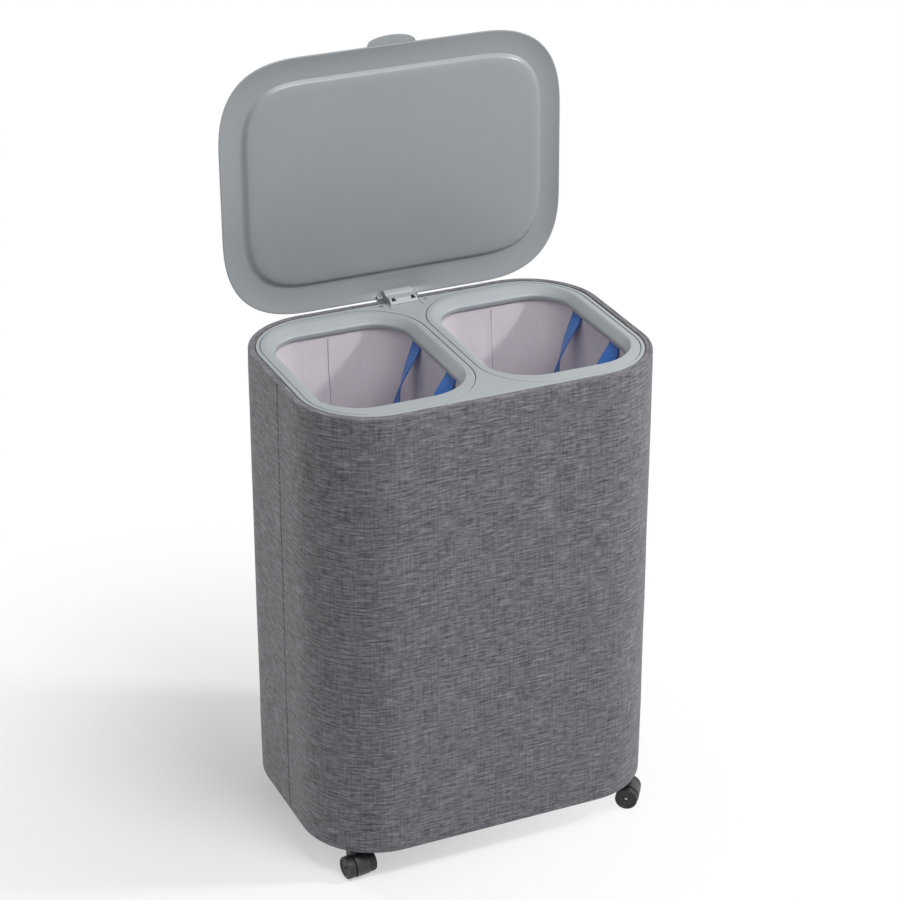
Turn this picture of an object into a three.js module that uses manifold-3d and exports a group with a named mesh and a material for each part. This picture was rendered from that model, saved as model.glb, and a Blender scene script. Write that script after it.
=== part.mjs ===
// Laundry hamper with two lift-out bins, on four twin-wheel casters.
// Millimetres, +Z up, front towards -Y, the floor at z = 0.
// The lid stands open and both bins hang in the body.
import * as THREE from 'three';
import { mergeVertices } from 'three/addons/utils/BufferGeometryUtils.js';
import Module from 'manifold-3d';

const wasm = await Module();
wasm.setup();

// General
const clearance = 0.3; // between pieces that touch
const cutOverrun = 4; // how far a cutter runs past the face it opens
const quarterTurn = Math.PI / 2;
const cornerSteps = 6;
const lidCornerSteps = 8;
const pinSides = 12;
const socketSides = 16;

// Body wall: a board tube inside a folded fabric cover
const bodyWidth = 500;
const bodyDepth = 346.8;
const bodyCorner = 105;
const bodyHeight = 645;
const standHeight = 42; // floor to the bottom of the cover
const coverThickness = 2;
const coverEdge = 1.2;
const boardThickness = 7.4;

// Base tray
const trayThickness = 4;
const trayWallHeight = 25;
const trayWallThickness = 3;
const socketRadius = 8;
const socketDrop = 5;
const socketCap = 3;

// Casters
const casterInsetX = 48; // body's side to the middle of a stem
const casterInsetY = 43.4;
const casterTrail = 13;
const wheelRadius = 16;
const wheelWidth = 10.5;
const wheelSides = 16;
const treadEdge = 1.5;
const wheelRimWidth = 4;
const wheelDish = 1.2;
const wheelGap = 0.4;
const hoodWidth = 20;
const hoodProud = 0.5;
const bossDepth = 16;
const stemRadius = 4;
const stemGrip = 27; // length held in the socket
const stemSeat = 3; // material left under the stem in the hood
const collarRadius = 8;
const collarThickness = 2.4;
const axleRadius = 2;
const axleRecess = 0.8; // axle end to the wheel's outer face
const hoodFrontAngle = THREE.MathUtils.degToRad(230);
const hoodArcSteps = 8;
const hoodUndersideShares = [[0.55, -0.35], [0, -0.6]];
const casterYaws = {
  front_left: THREE.MathUtils.degToRad(8),
  front_right: THREE.MathUtils.degToRad(54),
  rear_left: THREE.MathUtils.degToRad(158),
  rear_right: THREE.MathUtils.degToRad(196),
};

// Top frame, dropped into the wall
const frameThickness = 9;
const frameSkirtHeight = 40;
const frameSkirtThickness = 3.2;
const frameEdge = 1;
const frameLipSide = 7; // frame's edge to a bin's pocket
const frameLipFront = 8.4;
const frameCornerTrim = 11;
const bridgeHalf = 5; // half the bar between the two pockets
const ledgeSide = 5; // shelf that carries a ring
const ledgeFront = 6;
const ledgeCorner = 8;
const screwOut = 13; // housing's side to a screw
const screwInset = 18.4; // body's back to a screw
const screwRadius = 1.5;
const screwHeadRadius = 2.8;
const screwHeadHeight = 1.4;
const screwLength = 7.5;

// Bin rings
const flangeThickness = 3;
const flangeEdge = 1;
const flangeGap = 0.4; // round the flange in its pocket
const flangeSide = 14; // width of the ring's face beside the mouth
const flangeFront = 24;
const mouthEdge = 2.4;
const throatSlopeSide = 6.5; // how far the ring's wall leans in
const throatSlopeFront = 3;
const throatCornerTrim = 8;
const throatDepth = 16;
const ringWall = 2.4;

// Bags
const bagGapSide = 3; // bag to the frame's hole that it lifts through
const bagGapFront = 4;
const bagCornerTrim = 6;
const bagCloth = 1.6;
const bagLift = 5; // sockets to the bottom of the bag
const bagFoot = 16; // rounding of the bag's bottom
const bagNeckDrop = 6; // ring's lower edge to where the bag starts to widen
const bagShoulderDrop = 95; // ring's lower edge to the bag's full width
const bagFootSteps = 3;

// Carry straps inside the bags
const strapWidth = 25;
const strapThickness = 2;
const strapCornerGap = 8.5; // start of the ring's rounded corner to the strap
const strapSeatLength = 14;
const strapDrop = 190;
const strapLean = 22;
const strapArcSteps = 8;

// Hinge
const hingeOut = 0.6; // lid's back edge to the pin
const pinRadius = 1.5;
const knuckleRadius = 3.9;
const knuckleSides = 16;
const housingHalfX = 20;
const housingInset = 23.4; // body's back to the housing's front
const housingRise = 7.4; // body's top to the top of the housing's front half
const housingEdge = 5.5; // slope between the housing's front and its top
const humpRise = 9.6; // body's top to the top of the hump over the pin
const humpFront = 8; // pin to the foot of the hump
const humpRear = 8.2;
const humpEdge = 3;
const footReach = 10; // housing's front to its foot's front
const footDepth = 3;
const housingRoundSteps = 5;
const knuckleGap = 2.8; // housing to the lid's knuckles
const knuckleWidth = 6.6;

// Lid, shaped as it lies when closed
const lidSideInset = 4;
const lidOverhang = 3.6; // past the body's front and back
const lidCornerSpread = 20;
const lidPower = 2.7;
const lidRise = 1.2; // body's top to the lid's lower edge
const lidWall = 2.4;
const lidNotchDepth = 8.8; // lid's edge to the front of the notch for the hump
const lidDomeReach = 26;
const lidDomeHeight = 12.4;
const lidCrown = 0.8;
const lidCrownInset = 75;
const lidDomeSteps = 5;
const lidOpenAngle = THREE.MathUtils.degToRad(91);
const tabHalfWidth = 34;
const tabReach = 11.5;
const tabThickness = 3;
const tabRise = 2.5; // lid's lower edge to the tab
const tabRoot = 2.9; // how far the tab runs into the lid's wall
const tabPower = 2.1;
const tabSteps = 14;

// Inner panel of the lid
const linerInset = 37;
const linerCornerTrim = 69;
const linerHeight = 9.2;
const linerWall = 2;
const linerEdge = 8;
const linerSteps = 4;

// Heights and places that follow from the sizes above
const rimZ = standHeight + bodyHeight;
const wallThickness = coverThickness + clearance + boardThickness;
const insideInset = wallThickness + clearance;
const casterX = bodyWidth / 2 - casterInsetX;
const casterY = bodyDepth / 2 - casterInsetY;
const frameCorner = bodyCorner - insideInset;
const flangeHalfX = (bodyWidth / 2 - insideInset - frameLipSide - bridgeHalf) / 2;
const flangeHalfY = bodyDepth / 2 - insideInset - frameLipFront;
const flangeCorner = frameCorner - frameCornerTrim;
const binX = bridgeHalf + flangeHalfX; // middle of the body to the middle of a bin
const mouthHalfX = flangeHalfX - flangeSide;
const mouthHalfY = flangeHalfY - flangeFront;
const mouthCorner = flangeCorner - flangeFront;
const throatHalfX = mouthHalfX - throatSlopeSide;
const throatHalfY = mouthHalfY - throatSlopeFront;
const throatCorner = mouthCorner - throatCornerTrim;
const strapSpread = throatHalfY - throatCorner - strapCornerGap - strapWidth / 2; // bag's middle to an end
const frameHoleHalfX = flangeHalfX - ledgeSide;
const frameHoleHalfY = flangeHalfY - ledgeFront;
const frameHoleCorner = flangeCorner - ledgeCorner;
const bagHalfX = frameHoleHalfX - bagGapSide;
const bagHalfY = frameHoleHalfY - bagGapFront;
const bagCorner = frameHoleCorner - bagCornerTrim;
const housingFrontY = bodyDepth / 2 - housingInset;
const footFrontY = housingFrontY - footReach;
const screwX = housingHalfX + screwOut;
const screwY = bodyDepth / 2 - screwInset;
const lidWidth = bodyWidth - 2 * lidSideInset;
const lidDepth = bodyDepth + 2 * lidOverhang;
const lidCorner = bodyCorner + lidCornerSpread;
const linerHalfX = lidWidth / 2 - linerInset;
const linerHalfY = lidDepth / 2 - linerInset;
const linerCorner = lidCorner - linerCornerTrim;
const trayBottomZ = standHeight + coverThickness;
const trayTopZ = trayBottomZ + trayThickness;
const socketBottomZ = trayBottomZ - socketDrop;
const collarTopZ = socketBottomZ - clearance;
const hoodTopZ = collarTopZ - collarThickness - clearance;
const stemTopZ = socketBottomZ + stemGrip;
const socketTopZ = stemTopZ + clearance + socketCap;
const axleZ = wheelRadius * Math.cos(Math.PI / wheelSides);
const bossBottomZ = hoodTopZ - bossDepth;
const stemBottomZ = bossBottomZ + stemSeat;
const ringBottomZ = rimZ - throatDepth;
const flangeBottomZ = rimZ - flangeThickness;
const pocketZ = flangeBottomZ - clearance;
const bagTopZ = pocketZ - clearance;
const bagBottomZ = socketTopZ + bagLift;
const hingeY = lidDepth / 2 + hingeOut;
const hingeZ = rimZ + lidRise;
const lidEdgeZ = rimZ + lidRise;
const knuckleStartX = housingHalfX + knuckleGap;
const pinHalfLength = knuckleStartX + knuckleWidth - clearance;
const lidUndersideZ = lidEdgeZ + lidDomeHeight - lidWall;
const linerTopZ = lidUndersideZ - clearance;

// Outlines, each a rectangle with rounded corners round a middle on the x axis
const bodyOutline = { halfX: bodyWidth / 2, halfY: bodyDepth / 2, corner: bodyCorner };
const lidOutline = {
  halfX: lidWidth / 2, halfY: lidDepth / 2, corner: lidCorner, power: lidPower, steps: lidCornerSteps,
};
const linerOutline = {
  halfX: linerHalfX, halfY: linerHalfY, corner: linerCorner, steps: lidCornerSteps,
};

function binOutlines(x) {
  return {
    flange: { halfX: flangeHalfX, halfY: flangeHalfY, corner: flangeCorner, x },
    mouth: { halfX: mouthHalfX, halfY: mouthHalfY, corner: mouthCorner, x },
    throat: { halfX: throatHalfX, halfY: throatHalfY, corner: throatCorner, x },
    bag: { halfX: bagHalfX, halfY: bagHalfY, corner: bagCorner, x },
    hole: { halfX: frameHoleHalfX, halfY: frameHoleHalfY, corner: frameHoleCorner, x },
  };
}

// Materials

function finish(color, roughness, metalness = 0) {
  return new THREE.MeshStandardMaterial({ color, roughness, metalness });
}

const finishes = {
  linen: () => finish(0x6c6b70, 0.95),
  board: () => finish(0x8f7f68, 0.9),
  greyPlastic: () => finish(0xa5a9ad, 0.45),
  lidPlastic: () => finish(0x92969a, 0.5),
  basePlastic: () => finish(0x4a4c4f, 0.6),
  lining: () => finish(0xc4bfc4, 0.85),
  webbing: () => finish(0x2a5c9f, 0.8),
  blackPlastic: () => finish(0x26272a, 0.5),
  tread: () => finish(0x17181a, 0.6),
  steel: () => finish(0xb9bcc0, 0.35, 1),
};

// Rings of points, lofts and solids

function ringPoints([outline, inset, z]) {
  const { halfX, halfY, corner, x = 0, power = 2, steps = cornerSteps } = outline;
  const radius = corner - inset;
  const points = [];
  for (let quarter = 0; quarter < 4; quarter += 1) {
    const signX = quarter === 0 || quarter === 3 ? 1 : -1;
    const signY = quarter < 2 ? 1 : -1;
    for (let step = 0; step <= steps; step += 1) {
      const share = quarter % 2 === 0 ? step / steps : 1 - step / steps;
      const across = Math.cos(share * quarterTurn) ** (2 / power);
      const along = Math.sin(share * quarterTurn) ** (2 / power);
      points.push(new THREE.Vector3(
        x + signX * (halfX - corner + radius * across),
        signY * (halfY - corner + radius * along),
        z,
      ));
    }
  }
  return points;
}

function loft(rings, closed) {
  const count = rings[0].length;
  const positions = rings.flat().flatMap((point) => point.toArray());
  const faces = [];
  const spans = closed ? rings.length : rings.length - 1;
  for (let i = 0; i < spans; i += 1) {
    const low = i * count;
    const high = ((i + 1) % rings.length) * count;
    for (let j = 0; j < count; j += 1) {
      const k = (j + 1) % count;
      faces.push(low + j, low + k, high + k, low + j, high + k, high + j);
    }
  }
  if (!closed) {
    [[rings[0], 0, true], [rings.at(-1), (rings.length - 1) * count, false]].forEach(([ring, start, flip]) => {
      const middle = positions.length / 3;
      const sum = ring.reduce((total, point) => total.add(point), new THREE.Vector3());
      positions.push(...sum.divideScalar(count).toArray());
      for (let j = 0; j < count; j += 1) {
        const k = (j + 1) % count;
        faces.push(middle, start + (flip ? k : j), start + (flip ? j : k));
      }
    });
  }
  const geometry = new THREE.BufferGeometry();
  geometry.setAttribute('position', new THREE.Float32BufferAttribute(positions, 3));
  geometry.setIndex(faces);
  return geometry;
}

// A band's rows go up its outside and down its inside; a vessel's rows run from the
// face that looks down, round its edge, to the face that looks up.
const band = (rows) => loft(rows.map(ringPoints), true);
const vessel = (rows) => loft(rows.map(ringPoints), false);
const plate = (outline, inset, low, high) => vessel([[outline, inset, low], [outline, inset, high]]);

// Rows of a quarter ellipse that leaves the first row upright and reaches the last one level.
function quarterRows(outline, [fromInset, fromZ], [toInset, toZ], steps) {
  return Array.from({ length: steps + 1 }, (_, i) => {
    const angle = (i / steps) * quarterTurn;
    return [
      outline,
      fromInset + (toInset - fromInset) * (1 - Math.cos(angle)),
      fromZ + (toZ - fromZ) * Math.sin(angle),
    ];
  });
}

function toSolid(geometry) {
  const bare = geometry.clone();
  bare.deleteAttribute('normal');
  bare.deleteAttribute('uv');
  const merged = mergeVertices(bare);
  return new wasm.Manifold(new wasm.Mesh({
    numProp: 3,
    vertProperties: new Float32Array(merged.attributes.position.array),
    triVerts: new Uint32Array(merged.index.array),
  }));
}

function toGeometry(solid) {
  const { vertProperties, triVerts } = solid.getMesh();
  const geometry = new THREE.BufferGeometry();
  geometry.setAttribute('position', new THREE.BufferAttribute(new Float32Array(vertProperties), 3));
  geometry.setIndex(new THREE.BufferAttribute(new Uint32Array(triVerts), 1));
  return geometry;
}

function shaped(base, { add = [], cut = [] }) {
  let solid = toSolid(base);
  add.forEach((piece) => { solid = solid.add(toSolid(piece)); });
  cut.forEach((piece) => { solid = solid.subtract(toSolid(piece)); });
  return toGeometry(solid);
}

// Simple solids, placed

function uprightCylinder(radius, low, high, sides, x = 0, y = 0) {
  const geometry = new THREE.CylinderGeometry(radius, radius, high - low, sides);
  return geometry.rotateX(quarterTurn).translate(x, y, (low + high) / 2);
}

function crossCylinder(radius, fromX, toX, sides, y, z) {
  const geometry = new THREE.CylinderGeometry(radius, radius, toX - fromX, sides);
  return geometry.rotateZ(quarterTurn).translate((fromX + toX) / 2, y, z);
}

function block(low, high) {
  const size = high.map((value, i) => value - low[i]);
  const middle = high.map((value, i) => (value + low[i]) / 2);
  return new THREE.BoxGeometry(...size).translate(...middle);
}

// A (y, z) profile pushed out to both sides of x = 0.
function crossExtrusion(profile, width) {
  const shape = new THREE.Shape(profile.map(([y, z]) => new THREE.Vector2(y, z)));
  const geometry = new THREE.ExtrudeGeometry(shape, { depth: width, bevelEnabled: false });
  const toCross = new THREE.Matrix4().makeBasis(
    new THREE.Vector3(0, 1, 0),
    new THREE.Vector3(0, 0, 1),
    new THREE.Vector3(1, 0, 0),
  );
  return geometry.applyMatrix4(toCross).translate(-width / 2, 0, 0);
}

function arcPoints([y, z], radius, from, to, steps) {
  return Array.from({ length: steps + 1 }, (_, i) => {
    const angle = from + ((to - from) * i) / steps;
    return [y + radius * Math.cos(angle), z + radius * Math.sin(angle)];
  });
}

const hamper = new THREE.Group();

function put(name, geometry, material, parent = hamper) {
  geometry.computeVertexNormals();
  const mesh = new THREE.Mesh(geometry, material);
  mesh.name = name;
  parent.add(mesh);
  return mesh;
}

// Body wall

function addWall() {
  put('fabric_cover', band([
    [bodyOutline, coverEdge, standHeight],
    [bodyOutline, 0, standHeight + coverEdge],
    [bodyOutline, 0, rimZ - coverEdge],
    [bodyOutline, coverEdge, rimZ],
    [bodyOutline, wallThickness, rimZ],
    [bodyOutline, wallThickness, rimZ - coverThickness],
    [bodyOutline, coverThickness, rimZ - coverThickness],
    [bodyOutline, coverThickness, trayBottomZ],
    [bodyOutline, wallThickness, trayBottomZ],
    [bodyOutline, wallThickness, standHeight],
  ]), finishes.linen());

  const boardInset = coverThickness + clearance;
  put('wall_board', band([
    [bodyOutline, boardInset, trayBottomZ + clearance],
    [bodyOutline, boardInset, rimZ - coverThickness - clearance],
    [bodyOutline, wallThickness, rimZ - coverThickness - clearance],
    [bodyOutline, wallThickness, trayBottomZ + clearance],
  ]), finishes.board());
}

// Base tray with a blind socket at each corner for a caster's stem

function addTray() {
  const innerInset = insideInset + trayWallThickness;
  const tray = vessel([
    [bodyOutline, insideInset, trayBottomZ],
    [bodyOutline, insideInset, trayTopZ + trayWallHeight],
    [bodyOutline, innerInset, trayTopZ + trayWallHeight],
    [bodyOutline, innerInset, trayTopZ],
  ]);
  const sockets = [];
  const bores = [];
  [-casterX, casterX].forEach((x) => {
    [-casterY, casterY].forEach((y) => {
      sockets.push(uprightCylinder(socketRadius, socketBottomZ, socketTopZ, socketSides, x, y));
      bores.push(uprightCylinder(
        stemRadius + clearance, socketBottomZ - cutOverrun, stemTopZ + clearance, socketSides, x, y,
      ));
    });
  });
  put('base_tray', shaped(tray, { add: sockets, cut: bores }), finishes.basePlastic());
}

// Casters

function hoodGeometry() {
  const axle = [-casterTrail, axleZ];
  const reach = wheelRadius + hoodProud;
  const underside = hoodUndersideShares
    .map(([y, z]) => [axle[0] + y * reach, axle[1] + z * reach])
    .reverse();
  const profile = [
    [0, bossBottomZ],
    [0, hoodTopZ],
    [-hoodWidth / 2, hoodTopZ],
    ...arcPoints(axle, reach, quarterTurn, hoodFrontAngle, hoodArcSteps),
    ...underside,
  ].reverse();
  return shaped(crossExtrusion(profile, hoodWidth), {
    add: [uprightCylinder(hoodWidth / 2, bossBottomZ, hoodTopZ, socketSides)],
    cut: [
      uprightCylinder(stemRadius + clearance, stemBottomZ - clearance, hoodTopZ + cutOverrun, socketSides),
      crossCylinder(
        axleRadius + clearance, -hoodWidth / 2 - cutOverrun, hoodWidth / 2 + cutOverrun, pinSides, ...axle,
      ),
    ],
  });
}

function wheelGeometry(side) {
  const half = wheelWidth / 2;
  const bore = axleRadius + clearance;
  const dishRadius = wheelRadius - wheelRimWidth;
  const profile = [
    [bore, -half],
    [wheelRadius - treadEdge, -half],
    [wheelRadius, treadEdge - half],
    [wheelRadius, half - treadEdge],
    [wheelRadius - treadEdge, half],
    [dishRadius, half],
    [dishRadius - wheelDish, half - wheelDish],
    [bore, half - wheelDish],
    [bore, -half],
  ].map(([radius, along]) => new THREE.Vector2(radius, along));
  const wheel = new THREE.LatheGeometry(profile, wheelSides, Math.PI / wheelSides);
  const x = side * (hoodWidth / 2 + wheelGap + half);
  return wheel.rotateZ(-side * quarterTurn).translate(x, -casterTrail, axleZ);
}

function addCaster(place, x, y) {
  const caster = new THREE.Group();
  caster.position.set(x, y, 0);
  caster.rotation.z = casterYaws[place];
  hamper.add(caster);

  const stem = shaped(uprightCylinder(stemRadius, stemBottomZ, stemTopZ, socketSides), {
    add: [uprightCylinder(collarRadius, collarTopZ - collarThickness, collarTopZ, socketSides)],
  });
  put(`caster_${place}_stem`, stem, finishes.steel(), caster);
  put(`caster_${place}_hood`, hoodGeometry(), finishes.blackPlastic(), caster);
  put(`caster_${place}_wheel_left`, wheelGeometry(-1), finishes.tread(), caster);
  put(`caster_${place}_wheel_right`, wheelGeometry(1), finishes.tread(), caster);
  const axleHalf = hoodWidth / 2 + wheelGap + wheelWidth - wheelDish - axleRecess;
  put(
    `caster_${place}_axle`,
    crossCylinder(axleRadius, -axleHalf, axleHalf, pinSides, -casterTrail, axleZ),
    finishes.steel(),
    caster,
  );
}

// Top frame: a plate with a skirt, pierced for the bins

function addFrame() {
  const holes = [];
  [-binX, binX].forEach((x) => {
    const { flange, hole } = binOutlines(x);
    holes.push(plate(flange, -flangeGap, pocketZ, rimZ + cutOverrun));
    holes.push(plate(hole, 0, rimZ - frameThickness - cutOverrun, rimZ + cutOverrun));
  });
  const footPocket = block(
    [-housingHalfX - clearance, footFrontY - clearance, rimZ - footDepth - clearance],
    [housingHalfX + clearance, bodyDepth / 2, rimZ + cutOverrun],
  );
  const screwHoles = [-screwX, screwX].flatMap((x) => [
    uprightCylinder(
      screwHeadRadius + clearance, rimZ - screwHeadHeight - clearance, rimZ + cutOverrun, pinSides, x, screwY,
    ),
    uprightCylinder(
      screwRadius + clearance, rimZ - screwLength - clearance, rimZ, pinSides, x, screwY,
    ),
  ]);
  const skirtInset = insideInset + frameSkirtThickness;
  const body = vessel([
    [bodyOutline, skirtInset, rimZ - frameThickness],
    [bodyOutline, skirtInset, rimZ - frameSkirtHeight],
    [bodyOutline, insideInset, rimZ - frameSkirtHeight],
    [bodyOutline, insideInset, rimZ - frameEdge],
    [bodyOutline, insideInset + frameEdge, rimZ],
  ]);
  put('top_frame', shaped(body, { cut: [...holes, footPocket, ...screwHoles] }), finishes.greyPlastic());

  [['left', -screwX], ['right', screwX]].forEach(([side, x]) => {
    const shank = uprightCylinder(screwRadius, rimZ - screwLength, rimZ - screwHeadHeight / 2, pinSides, x, screwY);
    const head = uprightCylinder(screwHeadRadius, rimZ - screwHeadHeight, rimZ, pinSides, x, screwY);
    put(`frame_screw_${side}`, shaped(shank, { add: [head] }), finishes.steel());
  });
}

// Bins: a plastic ring, the bag that hangs from it, and two carry straps

function addBin(side, x) {
  const { flange, mouth, throat, bag } = binOutlines(x);
  put(`ring_${side}`, band([
    [throat, -ringWall, ringBottomZ],
    [mouth, -ringWall, flangeBottomZ],
    [flange, 0, flangeBottomZ],
    [flange, 0, rimZ - flangeEdge],
    [flange, flangeEdge, rimZ],
    [mouth, -mouthEdge, rimZ],
    [mouth, 0, rimZ - mouthEdge],
    [throat, 0, ringBottomZ],
  ]), finishes.greyPlastic());

  const hem = ringWall + clearance;
  const neckZ = ringBottomZ - bagNeckDrop;
  const shoulderZ = ringBottomZ - bagShoulderDrop;
  const foot = (inset, low) => quarterRows(bag, [inset, low + bagFoot], [inset + bagFoot, low], bagFootSteps);
  put(`bag_${side}`, vessel([
    ...foot(0, bagBottomZ).reverse(),
    [bag, 0, shoulderZ],
    [throat, -hem - bagCloth, neckZ],
    [throat, -hem - bagCloth, ringBottomZ],
    [mouth, -hem - bagCloth, bagTopZ],
    [mouth, -hem, bagTopZ],
    [throat, -hem, ringBottomZ],
    [throat, -hem, neckZ],
    [bag, bagCloth, shoulderZ],
    ...foot(bagCloth, bagBottomZ + bagCloth),
  ]), finishes.lining());

  [['left', -1], ['right', 1]].forEach(([hand, sign]) => {
    put(`strap_${side}_${hand}`, strapGeometry(x, sign), finishes.webbing());
  });
}

// A loop of webbing that hangs from the bag's neck and leans into the bag.
function strapGeometry(x, sign) {
  const wallX = throatHalfX + ringWall - strapThickness / 2;
  const topZ = ringBottomZ - clearance;
  const bendZ = topZ - strapDrop + strapSpread;
  const path = [
    [-strapSpread, topZ],
    [-strapSpread, topZ - strapSeatLength],
    ...Array.from({ length: strapArcSteps + 1 }, (_, i) => {
      const angle = Math.PI + (i / strapArcSteps) * Math.PI;
      return [strapSpread * Math.cos(angle), bendZ + strapSpread * Math.sin(angle)];
    }),
    [strapSpread, topZ - strapSeatLength],
    [strapSpread, topZ],
  ];
  const rings = path.map(([y, z], i) => {
    const before = path[Math.max(i - 1, 0)];
    const after = path[Math.min(i + 1, path.length - 1)];
    const ahead = new THREE.Vector2(after[0] - before[0], after[1] - before[1]).normalize();
    const fall = Math.max(topZ - strapSeatLength - z, 0) / (strapDrop - strapSeatLength);
    const middleX = x + sign * (wallX - strapLean * fall);
    const corners = [[1, 1], [-1, 1], [-1, -1], [1, -1]];
    return corners.map(([wide, thick]) => new THREE.Vector3(
      middleX + (thick * strapThickness) / 2,
      y - (wide * ahead.y * strapWidth) / 2,
      z + (wide * ahead.x * strapWidth) / 2,
    ));
  });
  return loft(rings, false);
}

// Hinge: a fixed housing on the frame, with the pin through the hump at its rear

function addHinge() {
  const axis = [hingeY, hingeZ];
  const top = rimZ + housingRise;
  const humpTop = rimZ + humpRise;
  const rear = hingeY + humpRear;
  const seat = rimZ + clearance;
  const insideY = bodyDepth / 2 - insideInset - clearance;
  const heel = arcPoints(axis, knuckleRadius, Math.PI, 2 * Math.PI, housingRoundSteps * 2);
  const hump = arcPoints([0, 0], 1, quarterTurn, 2 * quarterTurn, housingRoundSteps).map(([y, z]) => [
    hingeY + y * humpFront,
    top + z * (humpTop - top),
  ]);
  const profile = [
    [footFrontY, rimZ - footDepth],
    [insideY, rimZ - footDepth],
    [insideY, seat],
    [hingeY - knuckleRadius, seat],
    ...heel.filter(([, z]) => z < seat),
    [hingeY + knuckleRadius, hingeZ],
    [rear, hingeZ + humpRear - knuckleRadius],
    ...arcPoints([rear - humpEdge, humpTop - humpEdge], humpEdge, 0, quarterTurn, housingRoundSteps),
    ...hump,
    [housingFrontY + housingEdge, top],
    [housingFrontY, top - housingEdge],
    [housingFrontY, rimZ],
    [footFrontY, rimZ],
  ];
  const bore = crossCylinder(
    pinRadius + clearance, -housingHalfX - cutOverrun, housingHalfX + cutOverrun, pinSides, ...axis,
  );
  const housing = crossExtrusion(profile, housingHalfX * 2);
  put('hinge_housing', shaped(housing, { cut: [bore] }), finishes.greyPlastic());
  put(
    'hinge_pin',
    crossCylinder(pinRadius, -pinHalfLength, pinHalfLength, pinSides, ...axis),
    finishes.steel(),
  );
}

// Lid: an outer shell with knuckles and a thumb tab, and the panel inside it

function tabGeometry() {
  const front = -lidDepth / 2;
  const curve = Array.from({ length: tabSteps + 1 }, (_, i) => {
    const angle = Math.PI * (i / tabSteps);
    const across = Math.cos(angle);
    return new THREE.Vector2(
      -tabHalfWidth * Math.sign(across) * Math.abs(across) ** (2 / tabPower),
      front - tabReach * Math.sin(angle) ** (2 / tabPower),
    );
  });
  const outline = new THREE.Shape([
    new THREE.Vector2(-tabHalfWidth, front + tabRoot),
    ...curve,
    new THREE.Vector2(tabHalfWidth, front + tabRoot),
  ]);
  const geometry = new THREE.ExtrudeGeometry(outline, { depth: tabThickness, bevelEnabled: false });
  return geometry.translate(0, 0, lidEdgeZ + tabRise);
}

function lidShellGeometry() {
  const shell = vessel([
    [lidOutline, lidCrownInset, lidUndersideZ],
    ...quarterRows(
      lidOutline, [lidWall, lidEdgeZ], [lidDomeReach, lidUndersideZ], lidDomeSteps,
    ).reverse(),
    ...quarterRows(lidOutline, [0, lidEdgeZ], [lidDomeReach, lidEdgeZ + lidDomeHeight], lidDomeSteps),
    [lidOutline, lidCrownInset, lidEdgeZ + lidDomeHeight + lidCrown],
  ]);
  const ends = [-1, 1].map((sign) => [sign * knuckleStartX, sign * (knuckleStartX + knuckleWidth)]);
  const spans = ends.map((pair) => pair.toSorted((a, b) => a - b));
  const knuckles = spans.map(([from, to]) => (
    crossCylinder(knuckleRadius, from, to, knuckleSides, hingeY, hingeZ)
  ));
  const bores = spans.map(([from, to]) => crossCylinder(
    pinRadius + clearance, from - clearance * 2, to + clearance * 2, pinSides, hingeY, hingeZ,
  ));
  const notch = block(
    [-knuckleStartX, hingeY - hingeOut - lidNotchDepth, lidEdgeZ - cutOverrun],
    [knuckleStartX, hingeY + cutOverrun, lidEdgeZ + lidDomeHeight + cutOverrun],
  );
  return shaped(shell, { add: [tabGeometry(), ...knuckles], cut: [notch, ...bores] });
}

function linerGeometry() {
  const low = linerTopZ - linerHeight;
  const edge = [linerEdge, low];
  return vessel([
    ...quarterRows(linerOutline, [0, low + linerEdge / 2], edge, linerSteps).reverse(),
    [linerOutline, 0, linerTopZ],
    [linerOutline, linerWall, linerTopZ],
    ...quarterRows(
      linerOutline, [linerWall, low + linerEdge / 2 + linerWall], [linerEdge + linerWall, low + linerWall],
      linerSteps,
    ),
  ]);
}

function addLid() {
  const swing = new THREE.Group();
  swing.position.set(0, hingeY, hingeZ);
  swing.rotation.x = -lidOpenAngle;
  hamper.add(swing);
  [
    ['lid_shell', lidShellGeometry()],
    ['lid_inner_panel', linerGeometry()],
  ].forEach(([name, geometry]) => {
    put(name, geometry.translate(0, -hingeY, -hingeZ), finishes.lidPlastic(), swing);
  });
}

addWall();
addTray();
addFrame();
addBin('left', -binX);
addBin('right', binX);
addHinge();
addLid();
addCaster('front_left', -casterX, -casterY);
addCaster('front_right', casterX, -casterY);
addCaster('rear_left', -casterX, casterY);
addCaster('rear_right', casterX, casterY);

// The origin lies on the floor, under the middle of the whole hamper.
const reach = new THREE.Box3().setFromObject(hamper, true);
hamper.position.y = -(reach.min.y + reach.max.y) / 2;
hamper.updateMatrixWorld(true);

export default hamper;
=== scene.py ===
"""Laundry hamper with two lift-out bins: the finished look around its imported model."""

import logging
import math
from collections.abc import Callable, Iterable, Sequence
from dataclasses import dataclass, replace
from enum import Enum

import bmesh
import bpy
from mathutils import Matrix, Vector, noise


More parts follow.
